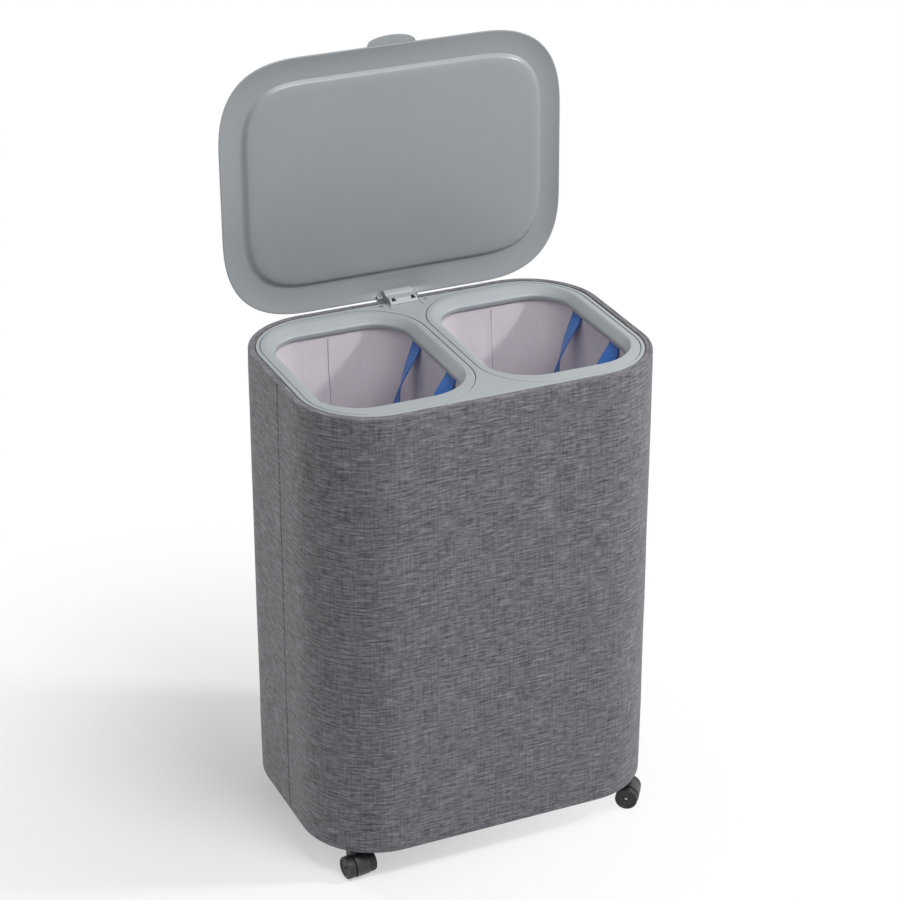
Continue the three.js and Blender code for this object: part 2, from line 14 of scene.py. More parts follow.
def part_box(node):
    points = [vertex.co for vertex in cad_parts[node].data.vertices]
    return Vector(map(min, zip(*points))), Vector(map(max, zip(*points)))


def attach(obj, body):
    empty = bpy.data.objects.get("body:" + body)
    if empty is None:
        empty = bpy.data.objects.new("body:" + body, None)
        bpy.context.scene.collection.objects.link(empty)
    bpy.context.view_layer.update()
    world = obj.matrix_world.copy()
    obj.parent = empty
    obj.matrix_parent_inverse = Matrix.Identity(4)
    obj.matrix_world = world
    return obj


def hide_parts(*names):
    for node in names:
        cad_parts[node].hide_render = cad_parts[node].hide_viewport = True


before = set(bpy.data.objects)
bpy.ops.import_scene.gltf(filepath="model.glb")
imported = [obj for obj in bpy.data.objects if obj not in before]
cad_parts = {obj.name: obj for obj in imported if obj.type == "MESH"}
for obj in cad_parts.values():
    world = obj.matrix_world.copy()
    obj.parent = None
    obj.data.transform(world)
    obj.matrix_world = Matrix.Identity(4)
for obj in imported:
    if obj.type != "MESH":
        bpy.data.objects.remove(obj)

log = logging.getLogger("hamper")

MM = 0.001
QUARTER = math.pi / 2

# The least rise between two loops, and how far a cutter reaches past its cut, in millimetres
STEP = 0.06
OVERRUN = 4.0

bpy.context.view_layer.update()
COVER_LOW, COVER_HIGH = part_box("fabric_cover")
MIDDLE = Vector((0.0, (COVER_LOW.y + COVER_HIGH.y) / 2, 0.0))
RIM = COVER_HIGH.z / MM
STAND = COVER_LOW.z / MM


def place(x: float, y: float, z: float) -> Vector:
    """A point given in millimetres from the body's middle, in metres in the row frame."""
    return MIDDLE + Vector((x, y, z)) * MM


def local(point: Vector) -> Vector:
    """A point given in the row frame, in millimetres from the body's middle."""
    return (point - MIDDLE) / MM


def arc(start: float, end: float, steps: int) -> list[float]:
    """Evenly spaced numbers or angles from start to end, both included."""
    return [start + (end - start) * i / steps for i in range(steps + 1)]


def portion(value: float, start: float, end: float) -> float:
    """How far a value lies on the way from start to end, from 0 to 1."""
    return min(1.0, max(0.0, (value - start) / (end - start)))


def eased(value: float, start: float, end: float) -> float:
    """A smooth step from 0 at start to 1 at end."""
    share = portion(value, start, end)
    return share * share * (3 - 2 * share)


# Shaping


@dataclass(frozen=True)
class Outline:
    """A rectangle with rounded corners, in millimetres."""

    half_x: float
    half_y: float
    corner: float
    x: float = 0.0
    y: float = 0.0
    power: float = 2.0

    def inset(self, by: float) -> "Outline":
        """The outline drawn in by a distance, or let out by a negative one."""
        return replace(
            self, half_x=self.half_x - by, half_y=self.half_y - by, corner=self.corner - by
        )

    def toward(self, other: "Outline", share: float) -> "Outline":
        """The outline part of the way to another one.

        Args:
            other: The outline at the end of the way.
            share: How much of the way, from 0 to 1.

        Returns:
            The outline between the two.
        """
        sizes = {}
        for size in ("half_x", "half_y", "corner", "x", "y", "power"):
            mine = getattr(self, size)
            sizes[size] = mine + (getattr(other, size) - mine) * share
        return replace(self, **sizes)

    @property
    def length(self) -> float:
        """The length of the outline."""
        straight = self.half_x + self.half_y - 2 * self.corner
        return 4 * straight + 2 * math.pi * self.corner

    def along(self, x: float, y: float) -> float:
        """How far round the outline a point lies.

        Args:
            x: The point's x, in millimetres from the body's middle.
            y: The point's y.

        Returns:
            The length from the middle of the back, towards +X.
        """
        side_x, side_y = self.half_x - self.corner, self.half_y - self.corner
        bend = QUARTER * self.corner
        dx, dy = x - self.x, y - self.y
        ax, ay = abs(dx), abs(dy)
        if ax <= side_x:
            run = ax
        elif ay <= side_y:
            run = side_x + bend + (side_y - ay)
        else:
            run = side_x + self.corner * math.atan2(ax - side_x, ay - side_y)
        if dy < 0:
            run = self.length / 2 - run
        return run if dx >= 0 else self.length - run

    def depth(self, spot: Vector) -> float:
        """How far inside the outline a point lies.

        Args:
            spot: The point, in millimetres from the body's middle.

        Returns:
            The depth in millimetres, below zero outside.
        """
        ax = abs(spot.x - self.x) - self.half_x + self.corner
        ay = abs(spot.y - self.y) - self.half_y + self.corner
        if ax > 0 and ay > 0:
            return self.corner - math.hypot(ax, ay)
        return self.corner - max(ax, ay)


Row = tuple[Outline, float, float]


def quarter(
    shape: Outline, start: tuple[float, float], end: tuple[float, float], steps: int
) -> list[Row]:
    """Loops of a quarter ellipse that leaves upright and arrives level.

    Args:
        shape: The outline.
        start: The first inset and height.
        end: The last inset and height.
        steps: The steps between them.

    Returns:
        The loops.
    """
    wide, tall = end[0] - start[0], end[1] - start[1]
    return [
        (shape, start[0] + wide * (1 - math.cos(a)), start[1] + tall * math.sin(a))
        for a in arc(0, QUARTER, steps)
    ]


class Ends(Enum):
    """How the ends of a stack of loops are closed."""

    JOINED = "the last loop joins the first"
    FILLED = "both ends are filled"
    LAST_FILLED = "the first end stays open"


class Bench:
    """Models one mesh with edit-mode operators, in millimetres from the body's middle."""

    level = 1e-7
    merge = 1e-6

    def __init__(self, name: str) -> None:
        """Starts an empty mesh and opens it for editing.

        Args:
            name: The name of the piece.
        """
        self.mesh = bpy.data.meshes.new(name)
        self.piece = bpy.data.objects.new(name, self.mesh)
        bpy.context.scene.collection.objects.link(self.piece)
        activate(self.piece)
        self.rows = 0
        bpy.ops.object.mode_set(mode="EDIT")

    def edit(self) -> bmesh.types.BMesh:
        """The mesh as it is being edited."""
        return bmesh.from_edit_mesh(self.mesh)

    def clear(self, mode: str) -> bmesh.types.BMesh:
        """Deselects everything and sets what is picked next.

        Args:
            mode: What is picked, "VERT" or "EDGE".

        Returns:
            The mesh as it is being edited.
        """
        bpy.ops.mesh.select_all(action="DESELECT")
        bpy.ops.mesh.select_mode(type=mode)
        return self.edit()

    def pick_verts(self, test: Callable[[Vector], bool]) -> None:
        """Selects the vertices that a test picks.

        Args:
            test: Says whether a place is wanted, given in millimetres from the body's middle.
        """
        shape = self.clear("VERT")
        for vert in shape.verts:
            if test(local(vert.co)):
                vert.select_set(True)
        shape.select_flush_mode()
        bmesh.update_edit_mesh(self.mesh)

    def pick_rows(self, *wanted: int) -> None:
        """Selects the edges of whole loops.

        Args:
            *wanted: The loops' numbers, from 1.
        """
        shape = self.clear("EDGE")
        layer = shape.verts.layers.int.get("row")
        for edge in shape.edges:
            a, b = (vert[layer] for vert in edge.verts)
            if a == b and a in wanted:
                edge.select_set(True)
        bmesh.update_edit_mesh(self.mesh)

    def row(self, outline: Outline, z: float, segments: int, cuts: int) -> None:
        """Adds one loop of edges in the shape of an outline.

        Args:
            outline: The loop's shape.
            z: Its height.
            segments: Steps in each rounded corner.
            cuts: Extra points on each straight side.
        """
        self.clear("VERT")
        centre = place(outline.x, outline.y, z)
        bpy.ops.mesh.primitive_plane_add(size=2, location=centre)
        bpy.ops.transform.resize(
            value=(outline.half_x * MM, outline.half_y * MM, 1), center_override=centre
        )
        bpy.ops.mesh.bevel(
            offset=outline.corner * MM,
            offset_type="OFFSET",
            segments=segments,
            profile=2 ** (-2 / outline.power),
            affect="VERTICES",
            clamp_overlap=False,
        )
        bpy.ops.mesh.delete(type="ONLY_FACE")
        self.rows += 1
        self._number()
        if cuts:
            shape = self.edit()
            layer = shape.verts.layers.int.get("row")
            for edge in shape.edges:
                a, b = edge.verts
                level = min(abs(a.co.x - b.co.x), abs(a.co.y - b.co.y)) < self.level
                edge.select_set(level and a[layer] == self.rows)
            bmesh.update_edit_mesh(self.mesh)
            bpy.ops.mesh.subdivide(number_cuts=cuts)
            self._number(selected=True)

    def _number(self, selected: bool = False) -> None:
        """Gives the newest loop's vertices its number.

        Args:
            selected: Whether they are the selected ones. Otherwise they are those without one.
        """
        shape = self.edit()
        layer = shape.verts.layers.int.get("row") or shape.verts.layers.int.new("row")
        for vert in shape.verts:
            if vert.select if selected else vert[layer] == 0:
                vert[layer] = self.rows
        bmesh.update_edit_mesh(self.mesh)

    def loft(
        self, rows: Iterable[Row], segments: int, cuts: int = 0, ends: Ends = Ends.JOINED
    ) -> None:
        """Bridges a stack of outlines.

        Args:
            rows: Each loop's outline, inset and height.
            segments: Steps in each rounded corner.
            cuts: Extra points on each straight side.
            ends: How the stack is closed.
        """
        for outline, inset, z in rows:
            self.row(outline.inset(inset), z, segments, cuts)
        for low in range(1, self.rows):
            self.pick_rows(low, low + 1)
            bpy.ops.mesh.bridge_edge_loops()
        if ends is Ends.JOINED:
            self.pick_rows(self.rows, 1)
            bpy.ops.mesh.bridge_edge_loops()
            return
        for end in (1, self.rows) if ends is Ends.FILLED else (self.rows,):
            self.pick_rows(end)
            bpy.ops.mesh.edge_face_add()

    def slice(self, point: Vector, normal: Sequence[float]) -> None:
        """Cuts edges into the mesh along a plane and keeps both sides."""
        bpy.ops.mesh.select_all(action="SELECT")
        bpy.ops.mesh.bisect(plane_co=point, plane_no=normal)

    def done(self) -> bpy.types.Object:
        """Closes the mesh, with its faces pointing outwards.

        Returns:
            The modelled piece.
        """
        bpy.ops.mesh.select_all(action="SELECT")
        bpy.ops.mesh.remove_doubles(threshold=self.merge)
        bpy.ops.mesh.normals_make_consistent(inside=False)
        bpy.ops.object.mode_set(mode="OBJECT")
        layer = self.mesh.attributes.get("row")
        if layer:
            self.mesh.attributes.remove(layer)
        return self.piece


def prism(name: str, points: Sequence[Vector], push: Vector) -> bpy.types.Object:
    """Models a flat face of any outline, pushed out.

    Args:
        name: The name of the piece.
        points: The face's corners, in metres in the row frame.
        push: The way and distance it is pushed, in metres.

    Returns:
        The piece.
    """
    bench = Bench(name)
    bench.clear("VERT")
    bpy.ops.mesh.primitive_circle_add(vertices=len(points), radius=1, fill_type="NGON")
    (face,) = bench.edit().faces
    for loop, point in zip(face.loops, points):
        loop.vert.co = point
    bmesh.update_edit_mesh(bench.mesh)
    bpy.ops.mesh.extrude_region_move(TRANSFORM_OT_translate={"value": push})
    return bench.done()


def block(name: str, low: Vector, high: Vector) -> bpy.types.Object:
    """Models a box.

    Args:
        name: The name of the piece.
        low: Its lowest corner, in metres in the row frame.
        high: Its highest corner.

    Returns:
        The piece.
    """
    bench = Bench(name)
    centre = (low + high) / 2
    bpy.ops.mesh.primitive_cube_add(size=1, location=centre)
    bpy.ops.transform.resize(value=high - low, center_override=centre)
    return bench.done()


class Way(Enum):
    """How a round bar lies, with the turn that brings it there."""

    ACROSS = (0.0, QUARTER, 0.0)
    UPRIGHT = (0.0, 0.0, 0.0)


def rod(
    name: str, way: Way, centre: Vector, length: float, radius: float, sides: int
) -> bpy.types.Object:
    """Models a round bar.

    Args:
        name: The name of the piece.
        way: How it lies.
        centre: Its middle, in metres in the row frame.
        length: Its length, in millimetres.
        radius: Its radius, in millimetres.
        sides: Its sides.

    Returns:
        The piece.
    """
    bench = Bench(name)
    # A vector rounds the sizes as it rounds places, so that faces meant to be level stay so
    wide, tall = Vector((radius, length)) * MM
    bpy.ops.mesh.primitive_cylinder_add(
        vertices=sides, radius=wide, depth=tall, location=centre, rotation=way.value
    )
    return bench.done()


def activate(piece: bpy.types.Object) -> None:
    """Makes a piece the only one selected.

    Args:
        piece: The piece.
    """
    bpy.ops.object.select_all(action="DESELECT")
    bpy.context.view_layer.objects.active = piece
    piece.select_set(True)


def modify(piece: bpy.types.Object, kind: str, **settings: object) -> None:
    """Adds a modifier and applies it.

    Args:
        piece: What is modified.
        kind: The modifier's type.
        **settings: Its settings.
    """
    activate(piece)
    modifier = piece.modifiers.new(kind.lower(), kind)
    for key, value in settings.items():
        setattr(modifier, key, value)
    bpy.ops.object.modifier_apply(modifier=modifier.name)


class Cut(Enum):
    """What a tool does to a piece, by the modifier's name for it."""

    AWAY = "DIFFERENCE"
    WELD = "UNION"


def carve(
    piece: bpy.types.Object, tools: Iterable[bpy.types.Object], cut: Cut = Cut.AWAY
) -> None:
    """Cuts tools out of a piece, or welds them to it, and deletes them.

    Args:
        piece: What is cut.
        tools: What cuts it.
        cut: Whether they are cut away or welded on.
    """
    for tool in tools:
        modify(piece, "BOOLEAN", object=tool, operation=cut.value, solver="EXACT")
        bpy.data.objects.remove(tool)


def shade_smooth(piece: bpy.types.Object, angle: float) -> None:
    """Shades a piece smooth, apart from edges sharper than an angle in degrees."""
    activate(piece)
    bpy.ops.object.shade_smooth_by_angle(angle=math.radians(angle))


def soften(piece: bpy.types.Object, width: float, segments: int = 2, angle: float = 38.0) -> None:
    """Rounds a moulding's sharp edges and shades it smooth.

    Args:
        piece: What is rounded.
        width: The rounding, in millimetres.
        segments: Its steps.
        angle: The least angle of an edge that is rounded, in degrees.
    """
    if width:
        modify(
            piece,
            "BEVEL",
            width=width * MM,
            segments=segments,
            limit_method="ANGLE",
            angle_limit=math.radians(angle),
            miter_outer="MITER_ARC",
        )
    shade_smooth(piece, angle)
    modify(piece, "WEIGHTED_NORMAL", keep_sharp=True, weight=60)


def wrap(piece: bpy.types.Object, outline: Outline, seam: float, level: float = 0.7) -> None:
    """Gives a piece a map that runs round an outline and up, in metres.

    Args:
        piece: What is mapped.
        outline: The outline that it follows.
        seam: How far round the outline the map starts, in millimetres.
        level: The upward part of a normal above which a face counts as level.
    """
    mesh = piece.data
    heights = [vert.co.z for vert in mesh.vertices]
    middle = (max(heights) + min(heights)) / 2
    layer = mesh.uv_layers.new(name="wrap")
    whole = outline.length
    spots = [local(vert.co) for vert in mesh.vertices]
    runs = [(outline.along(spot.x, spot.y) - seam) % whole for spot in spots]
    for face in mesh.polygons:
        around = [runs[index] for index in face.vertices]
        jump = max(around) - min(around) > whole / 2
        for loop, index in zip(face.loop_indices, face.vertices):
            run, up = runs[index], mesh.vertices[index].co.z
            if jump and run < whole / 2:
                run += whole
            if abs(face.normal.z) > level:
                up += math.copysign(outline.depth(spots[index]) * MM, up - middle)
            layer.data[loop].uv = (run * MM, up)


@dataclass(frozen=True)
class Ripple:
    """One layer of smooth noise, with folds of about its size in metres."""

    share: float
    size: float
    seed: float
    stretch: float = 1.0

    def at(self, point: Vector) -> float:
        """The layer's height at a point, from minus its share to its share."""
        spot = Vector((point.x, point.y, point.z * self.stretch)) / self.size
        return self.share * noise.noise(spot + Vector((self.seed, -self.seed, self.seed)))


# Finishes


Number = float | int
Colour = tuple[float, float, float]
Scale = tuple[float, float, float]


class Value:
    """A node's output that sums and products can be written with."""

    def __init__(self, maker: "Nodes", socket: bpy.types.NodeSocket) -> None:
        """Wraps a socket of a node."""
        self.maker = maker
        self.socket = socket

    def _math(self, operation: str, *others: "Value | Number", flip: bool = False) -> "Value":
        """Adds a Math node.

        Args:
            operation: The node's operation.
            *others: What it takes besides this value.
            flip: Whether the other one comes first.

        Returns:
            The node's result.
        """
        terms = [self, *others]
        if flip:
            terms.reverse()
        node = self.maker.node("ShaderNodeMath", {"operation": operation}, dict(enumerate(terms)))
        return Value(self.maker, node.outputs[0])

    def __add__(self, other: "Value | Number") -> "Value":
        """The sum."""
        return self._math("ADD", other)

    __radd__ = __add__

    def __mul__(self, other: "Value | Number") -> "Value":
        """The product."""
        return self._math("MULTIPLY", other)

    __rmul__ = __mul__

    def __sub__(self, other: "Value | Number") -> "Value":
        """The difference."""
        return self._math("SUBTRACT", other)

    def __rsub__(self, other: "Value | Number") -> "Value":
        """The difference the other way round."""
        return self._math("SUBTRACT", other, flip=True)

    def __abs__(self) -> "Value":
        """The value without its sign."""
        return self._math("ABSOLUTE")

    def sine(self) -> "Value":
        """The sine."""
        return self._math("SINE")

    def rise(self, start: float, end: float) -> "Value":
        """A smooth step from 0 at start to 1 at end."""
        node = self.maker.node(
            "ShaderNodeMapRange",
            {"interpolation_type": "SMOOTHSTEP"},
            {"Value": self, "From Min": start, "From Max": end},
        )
        return Value(self.maker, node.outputs[0])


def written(red: int, green: int, blue: int) -> Colour:
    """A colour given as it renders, from 0 to 255, as the shader's own numbers."""

    def linear(level: float) -> float:
        """One channel, from 0 to 1."""
        return level / 12.92 if level <= 0.04045 else ((level + 0.055) / 1.055) ** 2.4

    return linear(red / 255), linear(green / 255), linear(blue / 255)


def tinted(colour: Colour, by: float) -> Colour:
    """A colour made lighter or darker."""
    return tuple(min(1.0, channel * by) for channel in colour)


class Nodes:
    """Builds the nodes of a material or of the surroundings."""

    def __init__(self, owner: bpy.types.Material | bpy.types.World) -> None:
        """Empties the owner's nodes.

        Args:
            owner: What the nodes belong to.
        """
        owner.use_nodes = True
        self.tree = owner.node_tree
        self.tree.nodes.clear()

    def feed(self, socket: bpy.types.NodeSocket, value: object) -> None:
        """Sets a socket, or links what feeds it.

        Args:
            socket: The socket.
            value: A number, a colour, a vector, another socket or a value.
        """
        if isinstance(value, Value):
            value = value.socket
        if isinstance(value, bpy.types.NodeSocket):
            self.tree.links.new(value, socket)
        elif isinstance(value, tuple) and socket.type == "RGBA":
            socket.default_value = (*value, 1.0)
        else:
            socket.default_value = value

    def node(
        self,
        kind: str,
        settings: dict[str, object] | None = None,
        links: dict[str | int, object] | None = None,
    ) -> bpy.types.Node:
        """Adds a node.

        Args:
            kind: The node's type.
            settings: Its settings, set first.
            links: Its sockets' values, or what feeds them.

        Returns:
            The node.
        """
        node = self.tree.nodes.new(kind)
        for key, value in (settings or {}).items():
            setattr(node, key, value)
        for key, value in (links or {}).items():
            self.feed(node.inputs[key], value)
        return node

    def seen(self) -> Value:
        """Finds where the camera sees a surface.

        Returns:
            1 where it is seen straight, mirrored or through glass.
        """
        rays = self.node("ShaderNodeLightPath").outputs
        total = Value(self, rays["Is Camera Ray"]) + Value(self, rays["Is Glossy Ray"])
        return total + Value(self, rays["Is Transmission Ray"])

    def mixed(
        self, share: Value, first: bpy.types.NodeSocket, second: bpy.types.NodeSocket
    ) -> bpy.types.NodeSocket:
        """One shader turning into another."""
        return self.node("ShaderNodeMixShader", links={0: share, 1: first, 2: second}).outputs[0]


class Recipe(Nodes):
    """Builds the nodes of one material."""

    def __init__(self, name: str) -> None:
        """Starts a material with a Principled shader.

        Args:
            name: The material's name.
        """
        self.material = bpy.data.materials.new(name)
        super().__init__(self.material)
        self.shader = self.node("ShaderNodeBsdfPrincipled")
        self.output = self.node(
            "ShaderNodeOutputMaterial", links={"Surface": self.shader.outputs[0]}
        )

    def coordinates(
        self, scale: Scale, uv: str | None = None, middle: Scale = (0.0, 0.0, 0.0)
    ) -> Value:
        """Object coordinates, or a piece's own map, scaled along each axis.

        Args:
            scale: The scale along each axis.
            uv: The map's name, where the pattern follows the surface.
            middle: The place that becomes zero.

        Returns:
            The scaled coordinates.
        """
        if uv:
            source = self.node("ShaderNodeUVMap", {"uv_map": uv}).outputs["UV"]
        else:
            source = self.node("ShaderNodeTexCoord").outputs["Object"]
        shift = tuple(-spot * size for spot, size in zip(middle, scale))
        node = self.node(
            "ShaderNodeMapping", links={"Vector": source, "Scale": scale, "Location": shift}
        )
        return Value(self, node.outputs[0])

    def axes(self, scale: Scale, uv: str | None = None) -> tuple[Value, Value, Value]:
        """The three scaled coordinates apart."""
        node = self.node("ShaderNodeSeparateXYZ", links={"Vector": self.coordinates(scale, uv)})
        return tuple(Value(self, socket) for socket in node.outputs)

    def mottle(self, scale: Scale, detail: float, uv: str | None = None) -> Value:
        """Smooth noise from 0 to 1.

        Args:
            scale: Its scale along each axis.
            detail: Its finer layers.
            uv: The map it follows, if any.

        Returns:
            The noise.
        """
        node = self.node(
            "ShaderNodeTexNoise",
            links={"Vector": self.coordinates(scale, uv), "Scale": 1.0, "Detail": detail},
        )
        return Value(self, node.outputs[0])

    def weave(self, thread: float) -> Value:
        """Threads that cross, on the map round a piece.

        Args:
            thread: Two threads' width, in millimetres.

        Returns:
            Their height, from 0 to 1.
        """
        turn = 2 * math.pi / (thread * MM)
        warp, weft, _ = self.axes((turn, turn, 1), "wrap")
        return warp.sine() * weft.sine() * 0.5 + 0.5

    def blend(self, share: Value, first: Colour, second: Colour) -> Value:
        """One colour turning into another."""
        node = self.node("ShaderNodeMix", {"data_type": "RGBA"}, {0: share, 6: first, 7: second})
        return Value(self, node.outputs[2])

    def shade(self, **sockets: object) -> None:
        """Sets or feeds the shader's sockets; an underscore stands for a space."""
        for key, value in sockets.items():
            self.feed(self.shader.inputs[key.replace("_", " ")], value)

    def relief(self, height: Value, depth: float) -> None:
        """Gives the surface a fine relief, of a depth in millimetres."""
        node = self.node("ShaderNodeBump", links={"Height": height, "Distance": depth * MM})
        self.feed(self.shader.inputs["Normal"], node.outputs[0])


@dataclass(frozen=True)
class Moulding:
    """A moulded plastic with a fine even grain."""

    name: str
    colour: Colour
    rough: float
    grain: float = 0.012
    pitch: float = 900.0
    cloud: float = 9.0
    cloud_share: float = 0.7
    darkest: float = 0.93
    lightest: float = 1.06
    fine_rough: float = 0.08
    cloud_rough: float = 0.06

    def make(self) -> bpy.types.Material:
        """Mixes the material.

        Returns:
            The finished material.
        """
        recipe = Recipe(self.name)
        broad = recipe.mottle((self.cloud,) * 3, 3)
        fine = recipe.mottle((self.pitch,) * 3, 2)
        tone = broad * self.cloud_share + fine * (1 - self.cloud_share)
        dark, light = tinted(self.colour, self.darkest), tinted(self.colour, self.lightest)
        least = self.rough - (self.fine_rough + self.cloud_rough) / 2
        recipe.shade(
            Base_Color=recipe.blend(tone, dark, light),
            Roughness=fine * self.fine_rough + broad * self.cloud_rough + least,
        )
        recipe.relief(fine, self.grain)
        return recipe.material


@dataclass(frozen=True)
class Yarn:
    """One layer of a cloth's streaks: its weight in the tone and relief, and its pale slubs."""

    scale: Scale
    tone: float
    relief: float = 0.0
    slub: float = 0.0
    slub_start: float = 0.0
    slub_end: float = 1.0


@dataclass(frozen=True)
class Linen:
    """A grey cloth of uneven threads, with pale slubs along and across it."""

    name: str
    dark: Colour
    light: Colour
    thread: float = 0.9
    weave_tone: float = 0.12
    weave_relief: float = 0.5
    depth: float = 0.22
    tone: float = 0.4
    darkest: float = -0.25
    lightest: float = 1.25
    yarns: tuple[Yarn, ...] = (
        Yarn((120, 380, 1), 0.8, slub=0.12, slub_start=0.6, slub_end=0.85),
        Yarn((36, 380, 1), 1.1, relief=0.5, slub=0.16, slub_start=0.58, slub_end=0.8),
        Yarn((400, 26, 1), 0.55, relief=0.4),
        Yarn((16, 16, 1), 0.15),
    )

    def make(self) -> bpy.types.Material:
        """Mixes the material.

        Returns:
            The finished material.
        """
        recipe = Recipe(self.name)
        weave = recipe.weave(self.thread)
        tone = (weave - 0.5) * self.weave_tone + self.tone
        height = weave * self.weave_relief
        for yarn in self.yarns:
            streaks = recipe.mottle(yarn.scale, 2, "wrap")
            tone += (streaks - 0.5) * yarn.tone
            if yarn.slub:
                tone += streaks.rise(yarn.slub_start, yarn.slub_end) * yarn.slub
            if yarn.relief:
                height += streaks * yarn.relief
        recipe.shade(
            Base_Color=recipe.blend(tone.rise(self.darkest, self.lightest), self.dark, self.light),
            Roughness=tone * 0.08 + 0.84,
            Sheen_Weight=0.15,
            Sheen_Roughness=0.5,
            Specular_IOR_Level=0.2,
        )
        recipe.relief(height, self.depth)
        return recipe.material


@dataclass(frozen=True)
class Lining:
    """A smooth pale woven lining with soft wrinkles."""

    name: str
    dark: Colour
    light: Colour
    thread: float = 0.55
    streak_scale: Scale = (160, 9, 1)
    streak_share: float = 0.2
    streak_relief: float = 0.08
    cloud_scale: Scale = (11, 7, 1)
    cloud_relief: float = 0.9
    weave_relief: float = 0.05
    contrast: float = 1.3
    depth: float = 2.2

    def make(self) -> bpy.types.Material:
        """Mixes the material.

        Returns:
            The finished material.
        """
        recipe = Recipe(self.name)
        weave = recipe.weave(self.thread)
        streaks = recipe.mottle(self.streak_scale, 3, "wrap")
        cloud = recipe.mottle(self.cloud_scale, 3, "wrap")
        tone = streaks * self.streak_share + cloud * (1 - self.streak_share)
        recipe.shade(
            Base_Color=recipe.blend((tone - 0.5) * self.contrast + 0.5, self.dark, self.light),
            Roughness=cloud * 0.1 + 0.72,
            Sheen_Weight=0.1,
            Specular_IOR_Level=0.3,
        )
        height = weave * self.weave_relief + cloud * self.cloud_relief
        recipe.relief(height + streaks * self.streak_relief, self.depth)
        return recipe.material


@dataclass(frozen=True)
class Webbing:
    """A flat woven strap with ribs across it and a firm edge."""

    name: str
    dark: Colour
    light: Colour
    rib: float = 1.7
    slant: float = 38.0
    edge_start: float = 0.4
    edge_end: float = 0.45
    yarn_scale: Scale = (60, 700, 1)
    depth: float = 0.35

    def make(self) -> bpy.types.Material:
        """Mixes the material.

        Returns:
            The finished material.
        """
        recipe = Recipe(self.name)
        wide, along, _ = recipe.axes((1, 1, 1), "strap")
        turn = 2 * math.pi / (self.rib * MM)
        ribs = (along * turn + wide * self.slant).sine() * 0.5 + 0.5
        edge = abs(wide - 0.5).rise(self.edge_start, self.edge_end)
        yarn = recipe.mottle(self.yarn_scale, 3, "strap")
        recipe.shade(
            Base_Color=recipe.blend(ribs * 0.45 + yarn * 0.5 - edge * 0.25, self.dark, self.light),
            Roughness=yarn * 0.15 + 0.62,
            Sheen_Weight=0.2,
        )
        recipe.relief(ribs * 0.7 + edge * 0.5 + yarn * 0.2, self.depth)
        return recipe.material


@dataclass(frozen=True)
class Metal:
    """Plated steel with fine turning marks."""

    name: str
    colour: Colour
    rough: float = 0.3
    rough_change: float = 0.16
    darkest: float = 0.8
    mark_scale: Scale = (120, 120, 2600)
    mark_depth: float = 0.01
    stain_scale: Scale = (300, 300, 300)

    def make(self) -> bpy.types.Material:
        """Mixes the material.

        Returns:
            The finished material.
        """
        recipe = Recipe(self.name)
        marks = recipe.mottle(self.mark_scale, 2)
        stain = recipe.mottle(self.stain_scale, 2)
        recipe.shade(
            Base_Color=recipe.blend(stain, tinted(self.colour, self.darkest), self.colour),
            Roughness=marks * self.rough_change + (self.rough - self.rough_change / 2),
            Metallic=1.0,
        )
        recipe.relief(marks, self.mark_depth)
        return recipe.material


@dataclass(frozen=True)
class Fibreboard:
    """Pressed brown board with short fibres."""

    name: str
    dark: Colour
    light: Colour
    fibre_scale: Scale = (260, 260, 90)
    fleck_scale: Scale = (900, 900, 300)
    depth: float = 0.15

    def make(self) -> bpy.types.Material:
        """Mixes the material.

        Returns:
            The finished material.
        """
        recipe = Recipe(self.name)
        fibres = recipe.mottle(self.fibre_scale, 4)
        flecks = recipe.mottle(self.fleck_scale, 1)
        recipe.shade(
            Base_Color=recipe.blend(fibres * 0.7 + flecks * 0.3, self.dark, self.light),
            Roughness=fibres * 0.12 + 0.8,
            Specular_IOR_Level=0.2,
        )
        recipe.relief(fibres * 0.6 + flecks * 0.4, self.depth)
        return recipe.material


class Finish(Enum):
    """The hamper's finishes, each with a short name."""

    LINEN = "linen"
    BOARD = "board"
    GREY_PLASTIC = "grey_plastic"
    LID_PLASTIC = "lid_plastic"
    BASE_PLASTIC = "base_plastic"
    LINING = "lining"
    WEBBING = "webbing"
    BLACK_PLASTIC = "black_plastic"
    TREAD = "tread"
    STEEL = "steel"


class Palette:
    """Makes each finish once."""

    def __init__(self) -> None:
        """Mixes all the finishes."""
        recipes = {
            Finish.LINEN: Linen("linen cloth", written(52, 51, 56), written(156, 155, 161)),
            Finish.BOARD: Fibreboard("fibreboard", written(120, 104, 82), written(160, 144, 120)),
            Finish.GREY_PLASTIC: Moulding("grey plastic", written(160, 165, 168), 0.42),
            Finish.LID_PLASTIC: Moulding("lid plastic", written(146, 150, 153), 0.33),
            Finish.BASE_PLASTIC: Moulding("base plastic", written(74, 76, 79), 0.6),
            Finish.LINING: Lining("lining cloth", written(212, 204, 210), written(233, 226, 232)),
            Finish.WEBBING: Webbing("strap webbing", written(26, 74, 150), written(70, 138, 222)),
            Finish.BLACK_PLASTIC: Moulding("charcoal plastic", written(50, 51, 54), 0.4),
            Finish.TREAD: Moulding("wheel plastic", written(30, 30, 32), 0.5),
            Finish.STEEL: Metal("plated steel", written(196, 198, 201)),
        }
        self.materials = {finish: recipe.make() for finish, recipe in recipes.items()}

    def dress(self, piece: bpy.types.Object, finish: Finish) -> None:
        """Gives a new piece its finish.

        Args:
            piece: The piece.
            finish: Its finish.
        """
        piece.data.materials.clear()
        piece.data.materials.append(self.materials[finish])

    def dress_node(self, node: str, finish: Finish) -> None:
        """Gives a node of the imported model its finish."""
        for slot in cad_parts[node].material_slots:
            slot.material = self.materials[finish]


